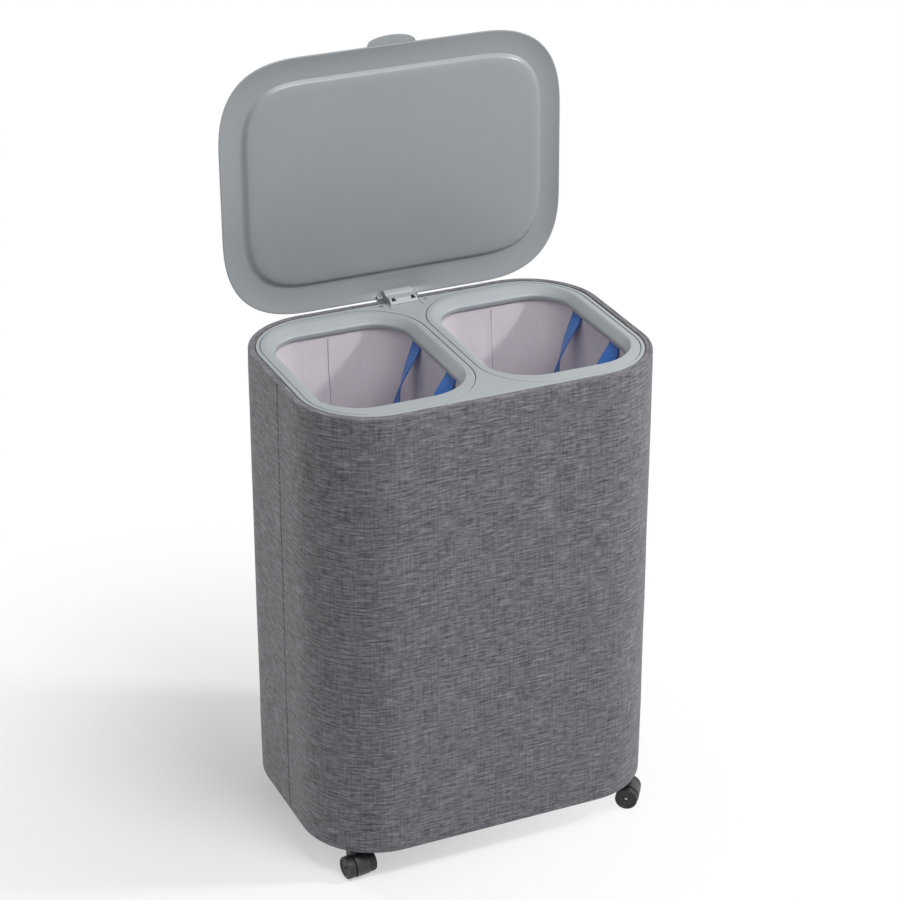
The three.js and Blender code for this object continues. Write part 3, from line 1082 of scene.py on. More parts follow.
@dataclass
class Assembly:
    """What every sub-assembly shares."""

    palette: Palette

    def fit(self, piece: bpy.types.Object, body: str, finish: Finish, *nodes: str) -> None:
        """Dresses a piece, ties it to its body and hides the nodes that it stands for.

        Args:
            piece: The finished piece.
            body: The body it moves with.
            finish: Its finish.
            *nodes: The nodes it replaces.
        """
        self.palette.dress(piece, finish)
        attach(piece, body)
        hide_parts(*nodes)
        log.info("%s: %d faces", piece.name, len(piece.data.polygons))


# Body


@dataclass
class Wall(Assembly):
    """The folded fabric cover round the board, and the tray under it."""

    half_x: float = 250.0
    half_y: float = 173.4
    corner: float = 105.0
    thickness: float = 2.0
    turn_in: float = 8.6
    fold: float = 1.8
    seam_y: float = -20.0
    seam_width: float = 3.2
    seam_depth: float = 1.1
    seam_cuts: tuple[float, ...] = (-3.0, -1.0, -0.4, 0.4, 1.0, 3.0)
    seam_core: float = 0.5
    skin: float = 1.5
    wave: float = 0.6
    wave_low: float = 50.0
    wave_high: float = 30.0
    ripples: tuple[Ripple, ...] = (Ripple(0.55, 0.09, 3.1), Ripple(0.45, 0.035, 7.7))

    @property
    def outline(self) -> Outline:
        """The cover's outer outline."""
        return Outline(self.half_x, self.half_y, self.corner)

    def _rows(self) -> list[Row]:
        """The loops of the cover.

        Returns:
            The loops, from the lower fold up the outside and back down the inside.
        """
        shape, low, high, fold = self.outline, STAND, RIM, self.fold
        return [
            *reversed(quarter(shape, (0.0, low + fold), (fold, low), 5)),
            *[(shape, 0.0, z) for z in arc(low + fold, high - fold, 30)[1:-1]],
            *quarter(shape, (0.0, high - fold), (fold, high), 5),
            (shape, self.turn_in, high - STEP),
            (shape, self.turn_in, high - self.thickness),
            (shape, self.thickness, high - self.thickness - STEP),
            (shape, self.thickness, low + self.thickness + STEP),
            (shape, self.turn_in, low + self.thickness),
            (shape, self.turn_in, low + STEP),
        ]

    def _sew(self, bench: Bench) -> None:
        """Presses the side seam into the cover's left side.

        Args:
            bench: The cover, being modelled.
        """
        half = self.seam_width / 2
        for offset in self.seam_cuts:
            bench.slice(place(0, self.seam_y + offset * half, 0), (0, 1, 0))
        bench.pick_verts(
            lambda spot: spot.x < 1 - self.half_x
            and abs(spot.y - self.seam_y) < self.seam_core * half
        )
        bpy.ops.transform.translate(value=(self.seam_depth * MM, 0, 0))

    def _ripple(self, cover: bpy.types.Object) -> None:
        """Makes the cover's outside a little uneven.

        Args:
            cover: The modelled cover.
        """
        for vert in cover.data.vertices:
            spot = local(vert.co)
            if self.outline.depth(spot) < self.skin:
                low = portion(spot.z, STAND, STAND + self.wave_low)
                room = min(low, portion(RIM - spot.z, 0, self.wave_high))
                push = 1.0 + sum(ripple.at(vert.co) for ripple in self.ripples)
                away = Vector((spot.x, spot.y, 0)).normalized()
                vert.co += away * (push * self.wave * room * MM)

    def build(self) -> None:
        """Models the cover and dresses the board and the tray."""
        bench = Bench("cover_cloth")
        bench.loft(self._rows(), segments=22, cuts=9)
        self._sew(bench)
        cover = bench.done()
        self._ripple(cover)
        wrap(cover, self.outline, self.outline.along(-self.half_x, self.seam_y))
        shade_smooth(cover, 50)
        self.fit(cover, "body", Finish.LINEN, "fabric_cover")
        self.outline.length * MM
        self.palette.dress_node("wall_board", Finish.BOARD)
        self.palette.dress_node("base_tray", Finish.BASE_PLASTIC)


@dataclass(frozen=True)
class BinShape:
    """The outlines of a bin's parts, in millimetres."""

    x: float

    @property
    def flange(self) -> Outline:
        """The ring's outer edge."""
        return Outline(114.0, 155.0, 84.0, self.x)

    @property
    def hole(self) -> Outline:
        """The frame's hole under the ring."""
        return Outline(109.0, 149.0, 76.0, self.x)

    @property
    def crest(self) -> Outline:
        """Where the ring starts to roll down into the bin."""
        return Outline(107.0, 140.5, 72.0, self.x, 6.5)

    @property
    def collar(self) -> Outline:
        """The top of the ring's outer wall, inside the frame's hole."""
        return Outline(105.5, 145.5, 72.5, self.x)

    @property
    def throat(self) -> Outline:
        """The ring's lower inner edge."""
        return Outline(93.5, 128.0, 52.0, self.x)

    @property
    def bag(self) -> Outline:
        """The bag below its shoulder."""
        return Outline(106.0, 145.0, 70.0, self.x)


class Side(Enum):
    """Left and right, each with its sign along X."""

    LEFT = -1
    RIGHT = 1

    @property
    def word(self) -> str:
        """The side's name in the model."""
        return self.name.lower()

    @property
    def shape(self) -> BinShape:
        """The outlines of this side's bin."""
        return BinShape(self.value * 119.0)

    @property
    def seam(self) -> float:
        """The place of the bag's seam."""
        return self.shape.x + (-2.0 if self is Side.LEFT else 1.0)


@dataclass
class TopFrame(Assembly):
    """The grey plate that closes the body's top, with its skirt and two screws."""

    half_x: float = 239.4
    half_y: float = 162.8
    corner: float = 94.4
    thickness: float = 9.0
    skirt: float = 40.0
    skirt_wall: float = 3.2
    edge: float = 1.2
    rounding: float = 0.45
    pocket_depth: float = 3.3
    pocket_gap: float = 1.2
    foot_half_x: float = 23.2
    foot_front: float = 139.7
    screw_x: float = 33.0
    screw_y: float = 155.0
    screw_head: float = 2.8
    head_depth: float = 1.4
    screw_length: float = 7.5
    shank: float = 1.5
    shank_top: float = 1.0
    slot_length: float = 3.4
    slot_width: float = 0.7
    slot_depth: float = 0.8
    screw_rounding: float = 0.15
    gap: float = 0.3

    def _plate(self) -> bpy.types.Object:
        """Models the plate and its skirt.

        Returns:
            The plate, before the holes.
        """
        shape = Outline(self.half_x, self.half_y, self.corner)
        bench = Bench("frame_moulding")
        bench.loft(
            [
                (shape, self.skirt_wall, RIM - self.thickness),
                (shape, self.skirt_wall, RIM - self.skirt + STEP),
                (shape, 0.0, RIM - self.skirt),
                *quarter(shape, (0.0, RIM - self.edge), (self.edge, RIM), 4),
            ],
            segments=28,
            ends=Ends.FILLED,
        )
        return bench.done()

    def _cutters(self) -> list[bpy.types.Object]:
        """Models what is cut from the plate.

        Returns:
            The rings' pockets and holes, the hinge's pocket and the screws' holes.
        """
        tools = []
        top = RIM + OVERRUN
        for side in Side:
            for outline, depth in (
                (side.shape.flange.inset(-self.pocket_gap), self.pocket_depth),
                (side.shape.hole, self.thickness + OVERRUN),
            ):
                bench = Bench("ring_hole")
                rows = [(outline, 0.0, RIM - depth), (outline, 0.0, top)]
                bench.loft(rows, segments=24, ends=Ends.FILLED)
                tools.append(bench.done())
        low = place(-self.foot_half_x, self.foot_front, RIM - self.pocket_depth)
        high = place(self.foot_half_x, self.half_y + OVERRUN, top)
        tools.append(block("foot_pocket", low, high))
        for x in (-self.screw_x, self.screw_x):
            for head, length in (
                (self.screw_head, self.head_depth),
                (self.shank, self.screw_length),
            ):
                radius, deep = head + self.gap, length + self.gap
                centre = place(x, self.screw_y, RIM + (OVERRUN - deep) / 2)
                tools.append(
                    rod("screw_hole", Way.UPRIGHT, centre, deep + OVERRUN, radius, sides=24)
                )
        return tools

    def _screw(self, name: str, x: float) -> bpy.types.Object:
        """Models a countersunk screw with a cross in its head.

        Args:
            name: The name of the piece.
            x: Its place.

        Returns:
            The screw.
        """

        def below(depth: float) -> Vector:
            """A place on the screw's line, under the rim."""
            return place(x, self.screw_y, RIM - depth)

        up, deep = Way.UPRIGHT, self.head_depth
        screw = rod(name, up, below(deep / 2), deep, self.screw_head, sides=28)
        centre = below((self.screw_length + self.shank_top) / 2)
        length = self.screw_length - self.shank_top
        carve(screw, [rod("shank", up, centre, length, self.shank, sides=20)], Cut.WELD)
        slots = []
        for long, wide in ((self.slot_length, self.slot_width), (self.slot_width, self.slot_length)):
            half = Vector((long / 2, wide / 2, self.slot_depth)) * MM
            slots.append(block("slot", below(0) - half, below(0) + half))
        carve(screw, slots)
        soften(screw, self.screw_rounding, segments=1)
        return screw

    def build(self) -> None:
        """Models the frame and its screws."""
        plate = self._plate()
        carve(plate, self._cutters())
        soften(plate, self.rounding)
        self.fit(plate, "body", Finish.GREY_PLASTIC, "top_frame")
        for side in Side:
            screw = self._screw(f"screw_{side.word}", side.value * self.screw_x)
            self.fit(screw, "body", Finish.STEEL, f"frame_screw_{side.word}")


# Bins


@dataclass
class Bin(Assembly):
    """A plastic ring, the bag that hangs from it, and the bag's two carry straps."""

    side: Side = Side.LEFT
    flange_thickness: float = 3.0
    depth: float = 16.0
    edge: float = 1.0
    roll: float = 9.5
    roll_power: float = 1.25
    roll_end: float = 0.92
    lip: float = 1.9
    lip_steps: tuple[tuple[float, float], ...] = ((0.975, 0.1), (0.995, 0.45), (1.0, 1.0))
    toe_rise: float = 0.8
    toe_inset: float = 0.6
    wall: float = 2.4
    gap: float = 0.3
    cloth: float = 1.4
    cloth_gap: float = 0.2
    bottom: float = 75.9
    foot: float = 16.0
    floor_sag: tuple[tuple[float, float], ...] = ((26.0, 0.8), (40.0, 2.0), (56.0, 3.0))
    neck: float = 6.0
    hem: float = 1.4
    slack: float = 7.0
    slack_length: float = 220.0
    spread_start: float = 90.0
    spread_end: float = 420.0
    fold_depth: float = 3.4
    fold_mean: float = 0.32
    fold_start: float = 110.0
    folds: tuple[Ripple, ...] = (
        Ripple(0.5, 0.06, 2.3, 0.45),
        Ripple(0.3, 0.03, 5.9),
        Ripple(0.2, 0.14, 9.1),
    )
    floor_wave: float = 1.2
    floor_mean: float = 0.6
    floor_ripple: Ripple = Ripple(1.0, 0.05, 4.2)
    seam_cuts: tuple[float, ...] = (-3.0, -1.2, 0.0, 1.2, 3.0)
    seam_reach: float = 2.0
    seam_core: float = 0.6
    seam_depth: float = 2.6
    seam_swell: float = 0.4
    seam_back: float = 90.0
    strap_width: float = 25.0
    strap_thickness: float = 1.8
    strap_rounding: float = 0.5
    strap_spread: float = 55.0
    strap_drop: float = 190.0
    strap_tuck: float = 1.0
    strap_lean: float = 32.0
    strap_lean_end: float = 98.0
    strap_seat: float = 4.0
    rear_leg: float = 20.0
    rear_swing: float = 52.8
    rear_wind: tuple[float, float] = (22.0, 110.0)
    rear_unwind: tuple[float, float] = (112.0, 165.0)
    front_swing: float = 40.0
    front_wind: tuple[float, float] = (10.0, 55.0)
    front_unwind: tuple[float, float] = (105.0, 150.0)

    @property
    def low(self) -> float:
        """The height of the ring's lower edge."""
        return RIM - self.depth

    def _ring(self) -> bpy.types.Object:
        """Models the plastic ring.

        Returns:
            The ring.
        """
        shape, crest, under = self.side.shape, RIM - STEP, RIM - self.flange_thickness
        falls = [(share, self.roll * share**self.roll_power) for share in arc(0, self.roll_end, 9)]
        falls += [(share, self.roll + drop * self.lip) for share, drop in self.lip_steps]
        bench = Bench(f"ring_moulding_{self.side.word}")
        bench.loft(
            [
                (shape.throat, -self.wall, self.low),
                (shape.collar, 0.0, under - STEP),
                (shape.flange, 0.0, under),
                *quarter(shape.flange, (0.0, RIM - self.edge), (self.edge, RIM), 4),
                *[(shape.crest.toward(shape.throat, s), 0.0, crest - fall) for s, fall in falls],
                (shape.throat, 0.0, self.low + self.toe_rise),
                (shape.throat, -self.toe_inset, self.low + STEP),
            ],
            segments=26,
        )
        ring = bench.done()
        soften(ring, 0.0, angle=48)
        return ring

    def _bag_rows(self) -> list[Row]:
        """The loops of the bag's inner face.

        Returns:
            The loops, from the hem down to the middle of the floor.
        """
        shape, neck, floor = self.side.shape, self.low - self.neck, self.bottom
        throat = shape.throat.inset(-self.wall - self.gap - self.hem)
        wide = shape.bag.inset(self.cloth + self.cloth_gap)
        rows: list[Row] = [
            (shape.collar, -self.gap, RIM - self.flange_thickness - 2 * self.gap),
            (throat, 0.0, self.low),
            (throat, 0.0, neck),
        ]
        for z in arc(neck, floor + self.foot, 30)[1:]:
            share = eased(neck - z, self.spread_start, self.spread_end)
            bow = math.sin(math.pi * portion(neck - z, 0, self.slack_length)) ** 2
            rows.append((throat.toward(wide, share), self.slack * bow, z))
        rows += quarter(wide, (0.0, floor + self.foot), (self.foot, floor), 5)[1:]
        rows += [(wide, inset, floor - sag) for inset, sag in self.floor_sag]
        return rows

    def _fold(self, bag: bpy.types.Object) -> None:
        """Gives the bag its soft folds and presses the seam into its back.

        Args:
            bag: The modelled bag.
        """
        neck = self.low - self.neck
        for vert in bag.data.vertices:
            spot = local(vert.co)
            if spot.z <= self.bottom + self.foot / 2:
                rise = self.floor_mean + self.floor_ripple.at(vert.co)
                vert.co.z += self.floor_wave * rise * MM
                continue
            across = Vector((spot.x - self.side.shape.x, spot.y, 0)).normalized()
            push = self.fold_mean + sum(fold.at(vert.co) for fold in self.folds)
            fall = portion(neck - spot.z, 0, self.fold_start)
            vert.co -= across * (push * self.fold_depth * fall * MM)
            beside = abs(spot.x - self.side.seam)
            if spot.y > self.seam_back and beside < self.seam_reach and spot.z < neck:
                vert.co.y += (self.seam_depth if beside < self.seam_core else -self.seam_swell) * MM

    def _bag(self) -> bpy.types.Object:
        """Models the bag.

        Returns:
            The bag, with soft folds and a seam down its back.
        """
        bench = Bench(f"bag_cloth_{self.side.word}")
        bench.loft(self._bag_rows(), segments=14, cuts=9, ends=Ends.LAST_FILLED)
        for offset in self.seam_cuts:
            bench.slice(place(self.side.seam + offset, 0, 0), (1, 0, 0))
        bag = bench.done()
        self._fold(bag)
        modify(bag, "SOLIDIFY", thickness=self.cloth * MM, offset=1.0)
        wrap(bag, self.side.shape.bag, 0.0)
        shade_smooth(bag, 60)
        return bag

    def _turn(self, y: float, below: float) -> float:
        """How far a strap is turned about its own length.

        Args:
            y: The place along the bag; the strap's rear leg twists right over.
            below: How far below the rim the place lies.

        Returns:
            The angle from flat against the wall.
        """
        if y > self.rear_leg:
            slow = math.radians(self.rear_swing) * portion(below, *self.rear_wind)
            return (math.pi - slow) * (1 - eased(below, *self.rear_unwind))
        turn = math.radians(self.front_swing) * eased(below, *self.front_wind)
        return -turn * (1 - eased(below, *self.front_unwind))

    def _strap_line(self) -> list[Vector]:
        """The line down a strap's middle, seen from the side.

        Returns:
            Its points: y, height, and how far along the strap they lie.
        """
        top, spread = self.low - self.gap, self.strap_spread
        bend = top - self.strap_drop + spread
        leg = [top + (bend - top) * share for share in arc(0, 1, 16)[:-1]]
        spots = [(-spread, z) for z in leg]
        spots += [
            (spread * math.cos(a), bend + spread * math.sin(a))
            for a in arc(math.pi, 2 * math.pi, 28)
        ]
        spots += [(spread, z) for z in reversed(leg)]
        line = [Vector((*spots[0], 0.0))]
        for y, z in spots[1:]:
            run = line[-1].z + math.hypot(y - line[-1].x, z - line[-1].y)
            line.append(Vector((y, z, run)))
        return line

    def _strap(self, name: str, hand: int) -> bpy.types.Object:
        """Models a loop of webbing that hangs from the bag's neck and leans into the bag.

        Args:
            name: The name of the piece.
            hand: -1 for the wall on the left, and 1 for the one on the right.

        Returns:
            The strap.
        """
        wall_x = self.side.shape.throat.half_x + self.wall - self.strap_tuck
        line = self._strap_line()
        length = line[-1].z
        bpy.ops.object.select_all(action="DESELECT")
        bpy.ops.mesh.primitive_grid_add(x_subdivisions=4, y_subdivisions=96, size=2)
        strap = bpy.context.object
        strap.name = strap.data.name = name
        uv = strap.data.uv_layers[0]
        uv.name = "strap"
        for vert in strap.data.vertices:
            across = vert.co.x * self.strap_width / 2
            run = length * (vert.co.y + 1) / 2
            start, end = next(
                (pair for pair in zip(line, line[1:]) if pair[1].z >= run - 1e-6), line[-2:]
            )
            y, z, _ = start.lerp(end, (run - start.z) / (end.z - start.z))
            ahead = (end - start).to_2d().normalized()
            below = self.low - self.strap_seat - z
            lean = self.strap_lean * math.sin(QUARTER * portion(below, 0, self.strap_lean_end))
            turn = self._turn(y, RIM - z)
            x = self.side.shape.x + hand * (wall_x - lean + across * math.sin(turn))
            flat = across * math.cos(turn)
            vert.co = place(x, y - ahead.y * flat, z + ahead.x * flat)
        for loop in strap.data.loops:
            u, v = uv.data[loop.index].uv
            uv.data[loop.index].uv = (u, v * length * MM)
        modify(strap, "SOLIDIFY", thickness=self.strap_thickness * MM, offset=0.0)
        soften(strap, self.strap_rounding, angle=60)
        return strap

    def build(self) -> None:
        """Models the whole bin."""
        word = self.side.word
        body = f"bin_{word}"
        self.fit(self._ring(), body, Finish.GREY_PLASTIC, f"ring_{word}")
        self.fit(self._bag(), body, Finish.LINING, f"bag_{word}")
        for hand in Side:
            strap = self._strap(f"carry_strap_{word}_{hand.word}", hand.value)
            self.fit(strap, body, Finish.WEBBING, f"strap_{word}_{hand.word}")


# Hinge and lid


@dataclass(frozen=True)
class HingeLine:
    """Where the lid turns, in millimetres."""

    y: float = 177.6
    lift: float = 1.2
    pin_hole: float = 1.8
    housing_half_x: float = 20.0
    knuckle_gap: float = 0.8
    knuckle_width: float = 8.6
    knuckle_radius: float = 3.9
    open_angle: float = 91.0

    @property
    def z(self) -> float:
        """The height of the pin."""
        return RIM + self.lift

    @property
    def notch(self) -> float:
        """Half the width of the lid's notch."""
        return self.housing_half_x + self.knuckle_gap

    def at(self, x: float) -> Vector:
        """A place on the pin's line, in metres in the row frame."""
        return place(x, self.y, self.z)


@dataclass
class Hinge(Assembly):
    """The housing fixed on the frame, with the pin through the hump at its rear."""

    line: HingeLine = HingeLine()
    foot_front: float = 140.0
    foot_depth: float = 3.0
    foot_half: float = 22.6
    foot_sink: float = 0.05
    inside: float = 163.1
    front: float = 150.0
    rise: float = 7.4
    bury: float = 1.0
    edge: float = 5.5
    barrel: float = 10.2
    barrel_start: float = 24.0
    seat: float = 0.3
    opening_x: float = 14.2
    opening_half: float = 3.4
    opening_tip: float = 0.4
    opening_low: float = 4.7
    opening_high: float = 11.2
    opening_near: float = -2.0
    opening_far: float = 10.0
    hollow_side: float = 0.4
    hollow_near: float = 4.0
    hollow_far: float = 17.0
    hollow_floor: float = 0.8
    hollow_roof: float = 1.2
    rounding: float = 0.5

    def _profile(self) -> list[tuple[float, float]]:
        """The housing's side view.

        Returns:
            Its corners, as (y, z).
        """
        y, z, radius = self.line.y, self.line.z, self.line.knuckle_radius
        top, seat = RIM + self.rise, RIM + self.seat
        heel = [
            (y + radius * math.cos(a), z + radius * math.sin(a))
            for a in arc(math.pi, 2 * math.pi, 18)
        ]
        last = math.pi - math.asin((top - z) / self.barrel)
        barrel = [
            (y + self.barrel * math.cos(a), z + self.barrel * math.sin(a))
            for a in arc(math.radians(self.barrel_start), last, 16)
        ]
        return [
            (self.front, RIM - self.bury),
            (self.inside - self.seat, RIM - self.bury),
            (self.inside - self.seat, seat),
            (y - radius, seat),
            *[spot for spot in heel if spot[1] < seat],
            (y + radius, z),
            *barrel,
            (self.front + self.edge, top),
            (self.front, top - self.edge),
        ]

    def _opening(self, x: float) -> list[bpy.types.Object]:
        """Models one of the openings in the housing's front, narrow at its top.

        Args:
            x: The place of its middle.

        Returns:
            The opening and the hollow behind it.
        """
        half, tip = self.opening_half, self.opening_tip
        near, low, high = self.front + self.opening_near, self.opening_low, self.opening_high
        corners = [
            place(x + aside, near, RIM + up)
            for aside, up in ((-half, low), (half, low), (tip, high), (-tip, high))
        ]
        depth = Vector((0, (self.opening_far - self.opening_near) * MM, 0))
        side = half + self.hollow_side
        start = place(x - side, self.front + self.hollow_near, RIM + self.hollow_floor)
        end = place(x + side, self.front + self.hollow_far, RIM + self.rise - self.hollow_roof)
        return [prism("front_opening", corners, depth), block("front_hollow", start, end)]

    def build(self) -> None:
        """Models the housing with the two openings in its front, and dresses the pin."""
        half = self.line.housing_half_x
        corners = [place(-half, y, z) for y, z in self._profile()]
        housing = prism("hinge_moulding", corners, Vector((2 * half * MM, 0, 0)))
        low = place(-self.foot_half, self.foot_front, RIM - self.foot_depth)
        high = place(self.foot_half, self.inside, RIM - self.foot_sink)
        carve(housing, [block("foot", low, high)], Cut.WELD)
        length, radius = 2 * (half + OVERRUN), self.line.pin_hole
        tools = [rod("pin_bore", Way.ACROSS, self.line.at(0), length, radius, sides=24)]
        for x in (-self.opening_x, self.opening_x):
            tools += self._opening(x)
        carve(housing, tools)
        soften(housing, self.rounding, segments=3, angle=30)
        self.fit(housing, "body", Finish.GREY_PLASTIC, "hinge_housing")
        self.palette.dress_node("hinge_pin", Finish.STEEL)


@dataclass
class Lid(Assembly):
    """The lid's outer shell with its thumb tab and knuckles, and the panel inside it."""

    line: HingeLine = HingeLine()
    half_x: float = 246.0
    half_y: float = 177.0
    corner: float = 125.0
    power: float = 2.7
    rear: float = 2.2
    wall: float = 2.4
    reach: float = 26.0
    height: float = 12.4
    crown: float = 0.8
    crown_inset: float = 75.0
    rounding: float = 0.6
    edge_top: float = 1.2
    edge_steps: tuple[tuple[float, float], ...] = ((0.8, 0.2), (0.25, 0.55))
    border_edge: float = 1.6
    border_low: float = 0.25
    border_rise: float = 5.75
    border_bow: float = 0.75
    recess_half: float = 22.0
    recess_fade: float = 30.0
    recess_height: float = 6.9
    recess_deep: float = 23.7
    recess_end: float = 35.0
    recess_skin: float = 1.5
    recess_share: float = 0.99
    notch_depth: float = 7.2
    bore_past: float = 1.0
    tab_half: float = 34.0
    tab_reach: float = 11.5
    tab_thickness: float = 3.0
    tab_rise: float = 2.5
    tab_root: float = 2.9
    tab_power: float = 2.1
    panel_x: float = 215.8
    panel_y: float = 143.7
    panel_aside: float = 3.8
    panel_ahead: float = -0.7
    panel_corner: float = 110.0
    panel_power: float = 3.4
    panel_low: float = 0.5
    panel_wall: float = 2.0
    panel_rim: float = 0.05
    panel_slopes: tuple[tuple[float, float], ...] = (
        (0.0, 0.04),
        (1.0, 1.25),
        (3.4, 1.15),
        (6.0, 0.25),
        (10.5, 0.09),
        (18.0, 0.0),
    )
    gap: float = 0.3

    @property
    def low(self) -> float:
        """The height of the closed lid's edge."""
        return RIM + self.line.lift

    @property
    def shape(self) -> Outline:
        """The lid's outline."""
        half_y = self.half_y + self.rear / 2
        return Outline(self.half_x, half_y, self.corner, y=self.rear / 2, power=self.power)

    @property
    def panel(self) -> Outline:
        """The inner panel's outline."""
        return Outline(
            self.panel_x,
            self.panel_y,
            self.panel_corner,
            self.panel_aside,
            self.panel_ahead,
            self.panel_power,
        )

    def _border(self, share: float) -> float:
        """The height of the dished border, part of the way from the lid's edge to the panel."""
        bowed = share * (1 + self.border_bow * (1 - share))
        return self.low + self.border_low + self.border_rise * bowed

    def _make_room(self, vert: bpy.types.MeshVertex) -> None:
        """Hollows the lid's border out softly over the hinge's housing.

        Args:
            vert: A vertex of the shell.
        """
        spot = local(vert.co)
        inset = self.half_y + self.rear - spot.y
        whole = self.half_y + self.rear - self.panel_y - self.panel_ahead - self.border_edge
        share = (inset - self.border_edge) / whole
        if 0 < share < self.recess_share and spot.z < self._border(share) + self.recess_skin:
            fade = self.recess_half + self.recess_fade
            room = 1 - eased(abs(spot.x), self.recess_half, fade)
            room *= eased(inset, self.border_edge, self.notch_depth + self.rear)
            room *= 1 - eased(inset, self.recess_deep, self.recess_end)
            vert.co.z += max(0.0, self.low + self.recess_height - spot.z) * room * MM

    def _tab(self) -> bpy.types.Object:
        """Models the thumb tab at the lid's front.

        Returns:
            The tab.
        """
        bend, root = 2 / self.tab_power, self.tab_root - self.half_y
        points = [(-self.tab_half, root)]
        for a in arc(0, math.pi, 32):
            across = math.copysign(abs(math.cos(a)) ** bend, math.cos(a))
            ahead = self.tab_reach * math.sin(a) ** bend
            points.append((-self.tab_half * across, -self.half_y - ahead))
        points.append((self.tab_half, root))
        corners = [place(x, y, self.low + self.tab_rise) for x, y in points]
        return prism("tab", corners, Vector((0, 0, self.tab_thickness * MM)))

    def _swing(self, piece: bpy.types.Object) -> None:
        """Turns a piece from where it lies closed to where it stands open.

        Args:
            piece: The shell or the panel.
        """
        hinge = self.line.at(0)
        turn = Matrix.Rotation(-math.radians(self.line.open_angle), 4, "X")
        piece.data.transform(Matrix.Translation(hinge) @ turn @ Matrix.Translation(-hinge))

    def _blank(self) -> bpy.types.Object:
        """Models the shell without its tab, knuckles and notch.

        Returns:
            The shell as it lies when closed.
        """
        shape, rim = self.shape, self.panel.inset(-self.panel_rim)
        under, top = self.low + self.height - self.wall, self.low + self.height
        edge = shape.inset(self.border_edge)
        bench = Bench("lid_moulding")
        bench.loft(
            [
                (shape, self.crown_inset, under + STEP),
                (rim, 0.0, under),
                *[(edge.toward(rim, share), 0.0, self._border(share)) for share in arc(1, 0, 14)],
                *[(shape, inset, self.low + up) for inset, up in self.edge_steps],
                *quarter(shape, (0.0, self.low + self.edge_top), (self.reach, top), 10),
                (shape, self.crown_inset, top + self.crown),
            ],
            segments=28,
            cuts=11,
            ends=Ends.FILLED,
        )
        shell = bench.done()
        for vert in shell.data.vertices:
            self._make_room(vert)
        return shell

    def _shell(self) -> bpy.types.Object:
        """Models the outer shell.

        Returns:
            The shell, standing open.
        """
        shell, line, start = self._blank(), self.line, self.line.notch
        extra, bores = [self._tab()], []
        for sign in (-1, 1):
            where = (Way.ACROSS, line.at(sign * (start + line.knuckle_width / 2)))
            wide, through = line.knuckle_width, line.knuckle_width + 2 * self.bore_past
            extra.append(rod("knuckle", *where, wide, line.knuckle_radius, sides=32))
            bores.append(rod("knuckle_bore", *where, through, line.pin_hole, sides=24))
        carve(shell, extra, Cut.WELD)
        low = place(-start, self.half_y - self.notch_depth, self.low - OVERRUN)
        top = self.low + self.height + OVERRUN
        high = place(start, self.half_y + self.rear + OVERRUN, top)
        carve(shell, [block("notch", low, high), *bores])
        self._swing(shell)
        soften(shell, self.rounding, angle=40)
        return shell

    def _panel_face(self) -> list[tuple[float, float]]:
        """The panel's visible face, from its rim inwards.

        Returns:
            The inset and height of each loop, with the slopes between the knots added up.
        """
        face = [(0.0, 0.0)]
        for (inset, slope), (ahead, next_slope) in zip(self.panel_slopes, self.panel_slopes[1:]):
            before = face[-1][1]
            for share in arc(0, 1, 5)[1:]:
                part = (ahead - inset) * share
                mean = slope + (next_slope - slope) * share / 2
                face.append((inset + part, before + part * mean))
        rise = (self._border(1) - self.low - self.panel_low) / face[-1][1]
        return [(inset, self._border(1) - fall * rise) for inset, fall in face]

    def _panel(self) -> bpy.types.Object:
        """Models the panel that stiffens the lid's underside.

        Returns:
            The panel, standing open.
        """
        shape, wall, face = self.panel, self.panel_wall, self._panel_face()
        top = self.low + self.height - self.wall - self.gap
        bench = Bench("lid_panel_moulding")
        bench.loft(
            [
                *[(shape, inset, z) for inset, z in reversed(face)],
                (shape, 0, top),
                (shape, wall, top - STEP),
                *[(shape, inset + wall, z + wall) for inset, z in face[::3]],
            ],
            segments=22,
            cuts=3,
            ends=Ends.FILLED,
        )
        panel = bench.done()
        self._swing(panel)
        soften(panel, 0.0, angle=50)
        return panel

    def build(self) -> None:
        """Models the lid."""
        self.fit(self._shell(), "lid", Finish.LID_PLASTIC, "lid_shell")
        self.fit(self._panel(), "lid", Finish.LID_PLASTIC, "lid_inner_panel")


# Casters


@dataclass(frozen=True)
class Post:
    """Where a caster stands, and which way it points."""

    name: str
    x: float
    y: float
    yaw: float


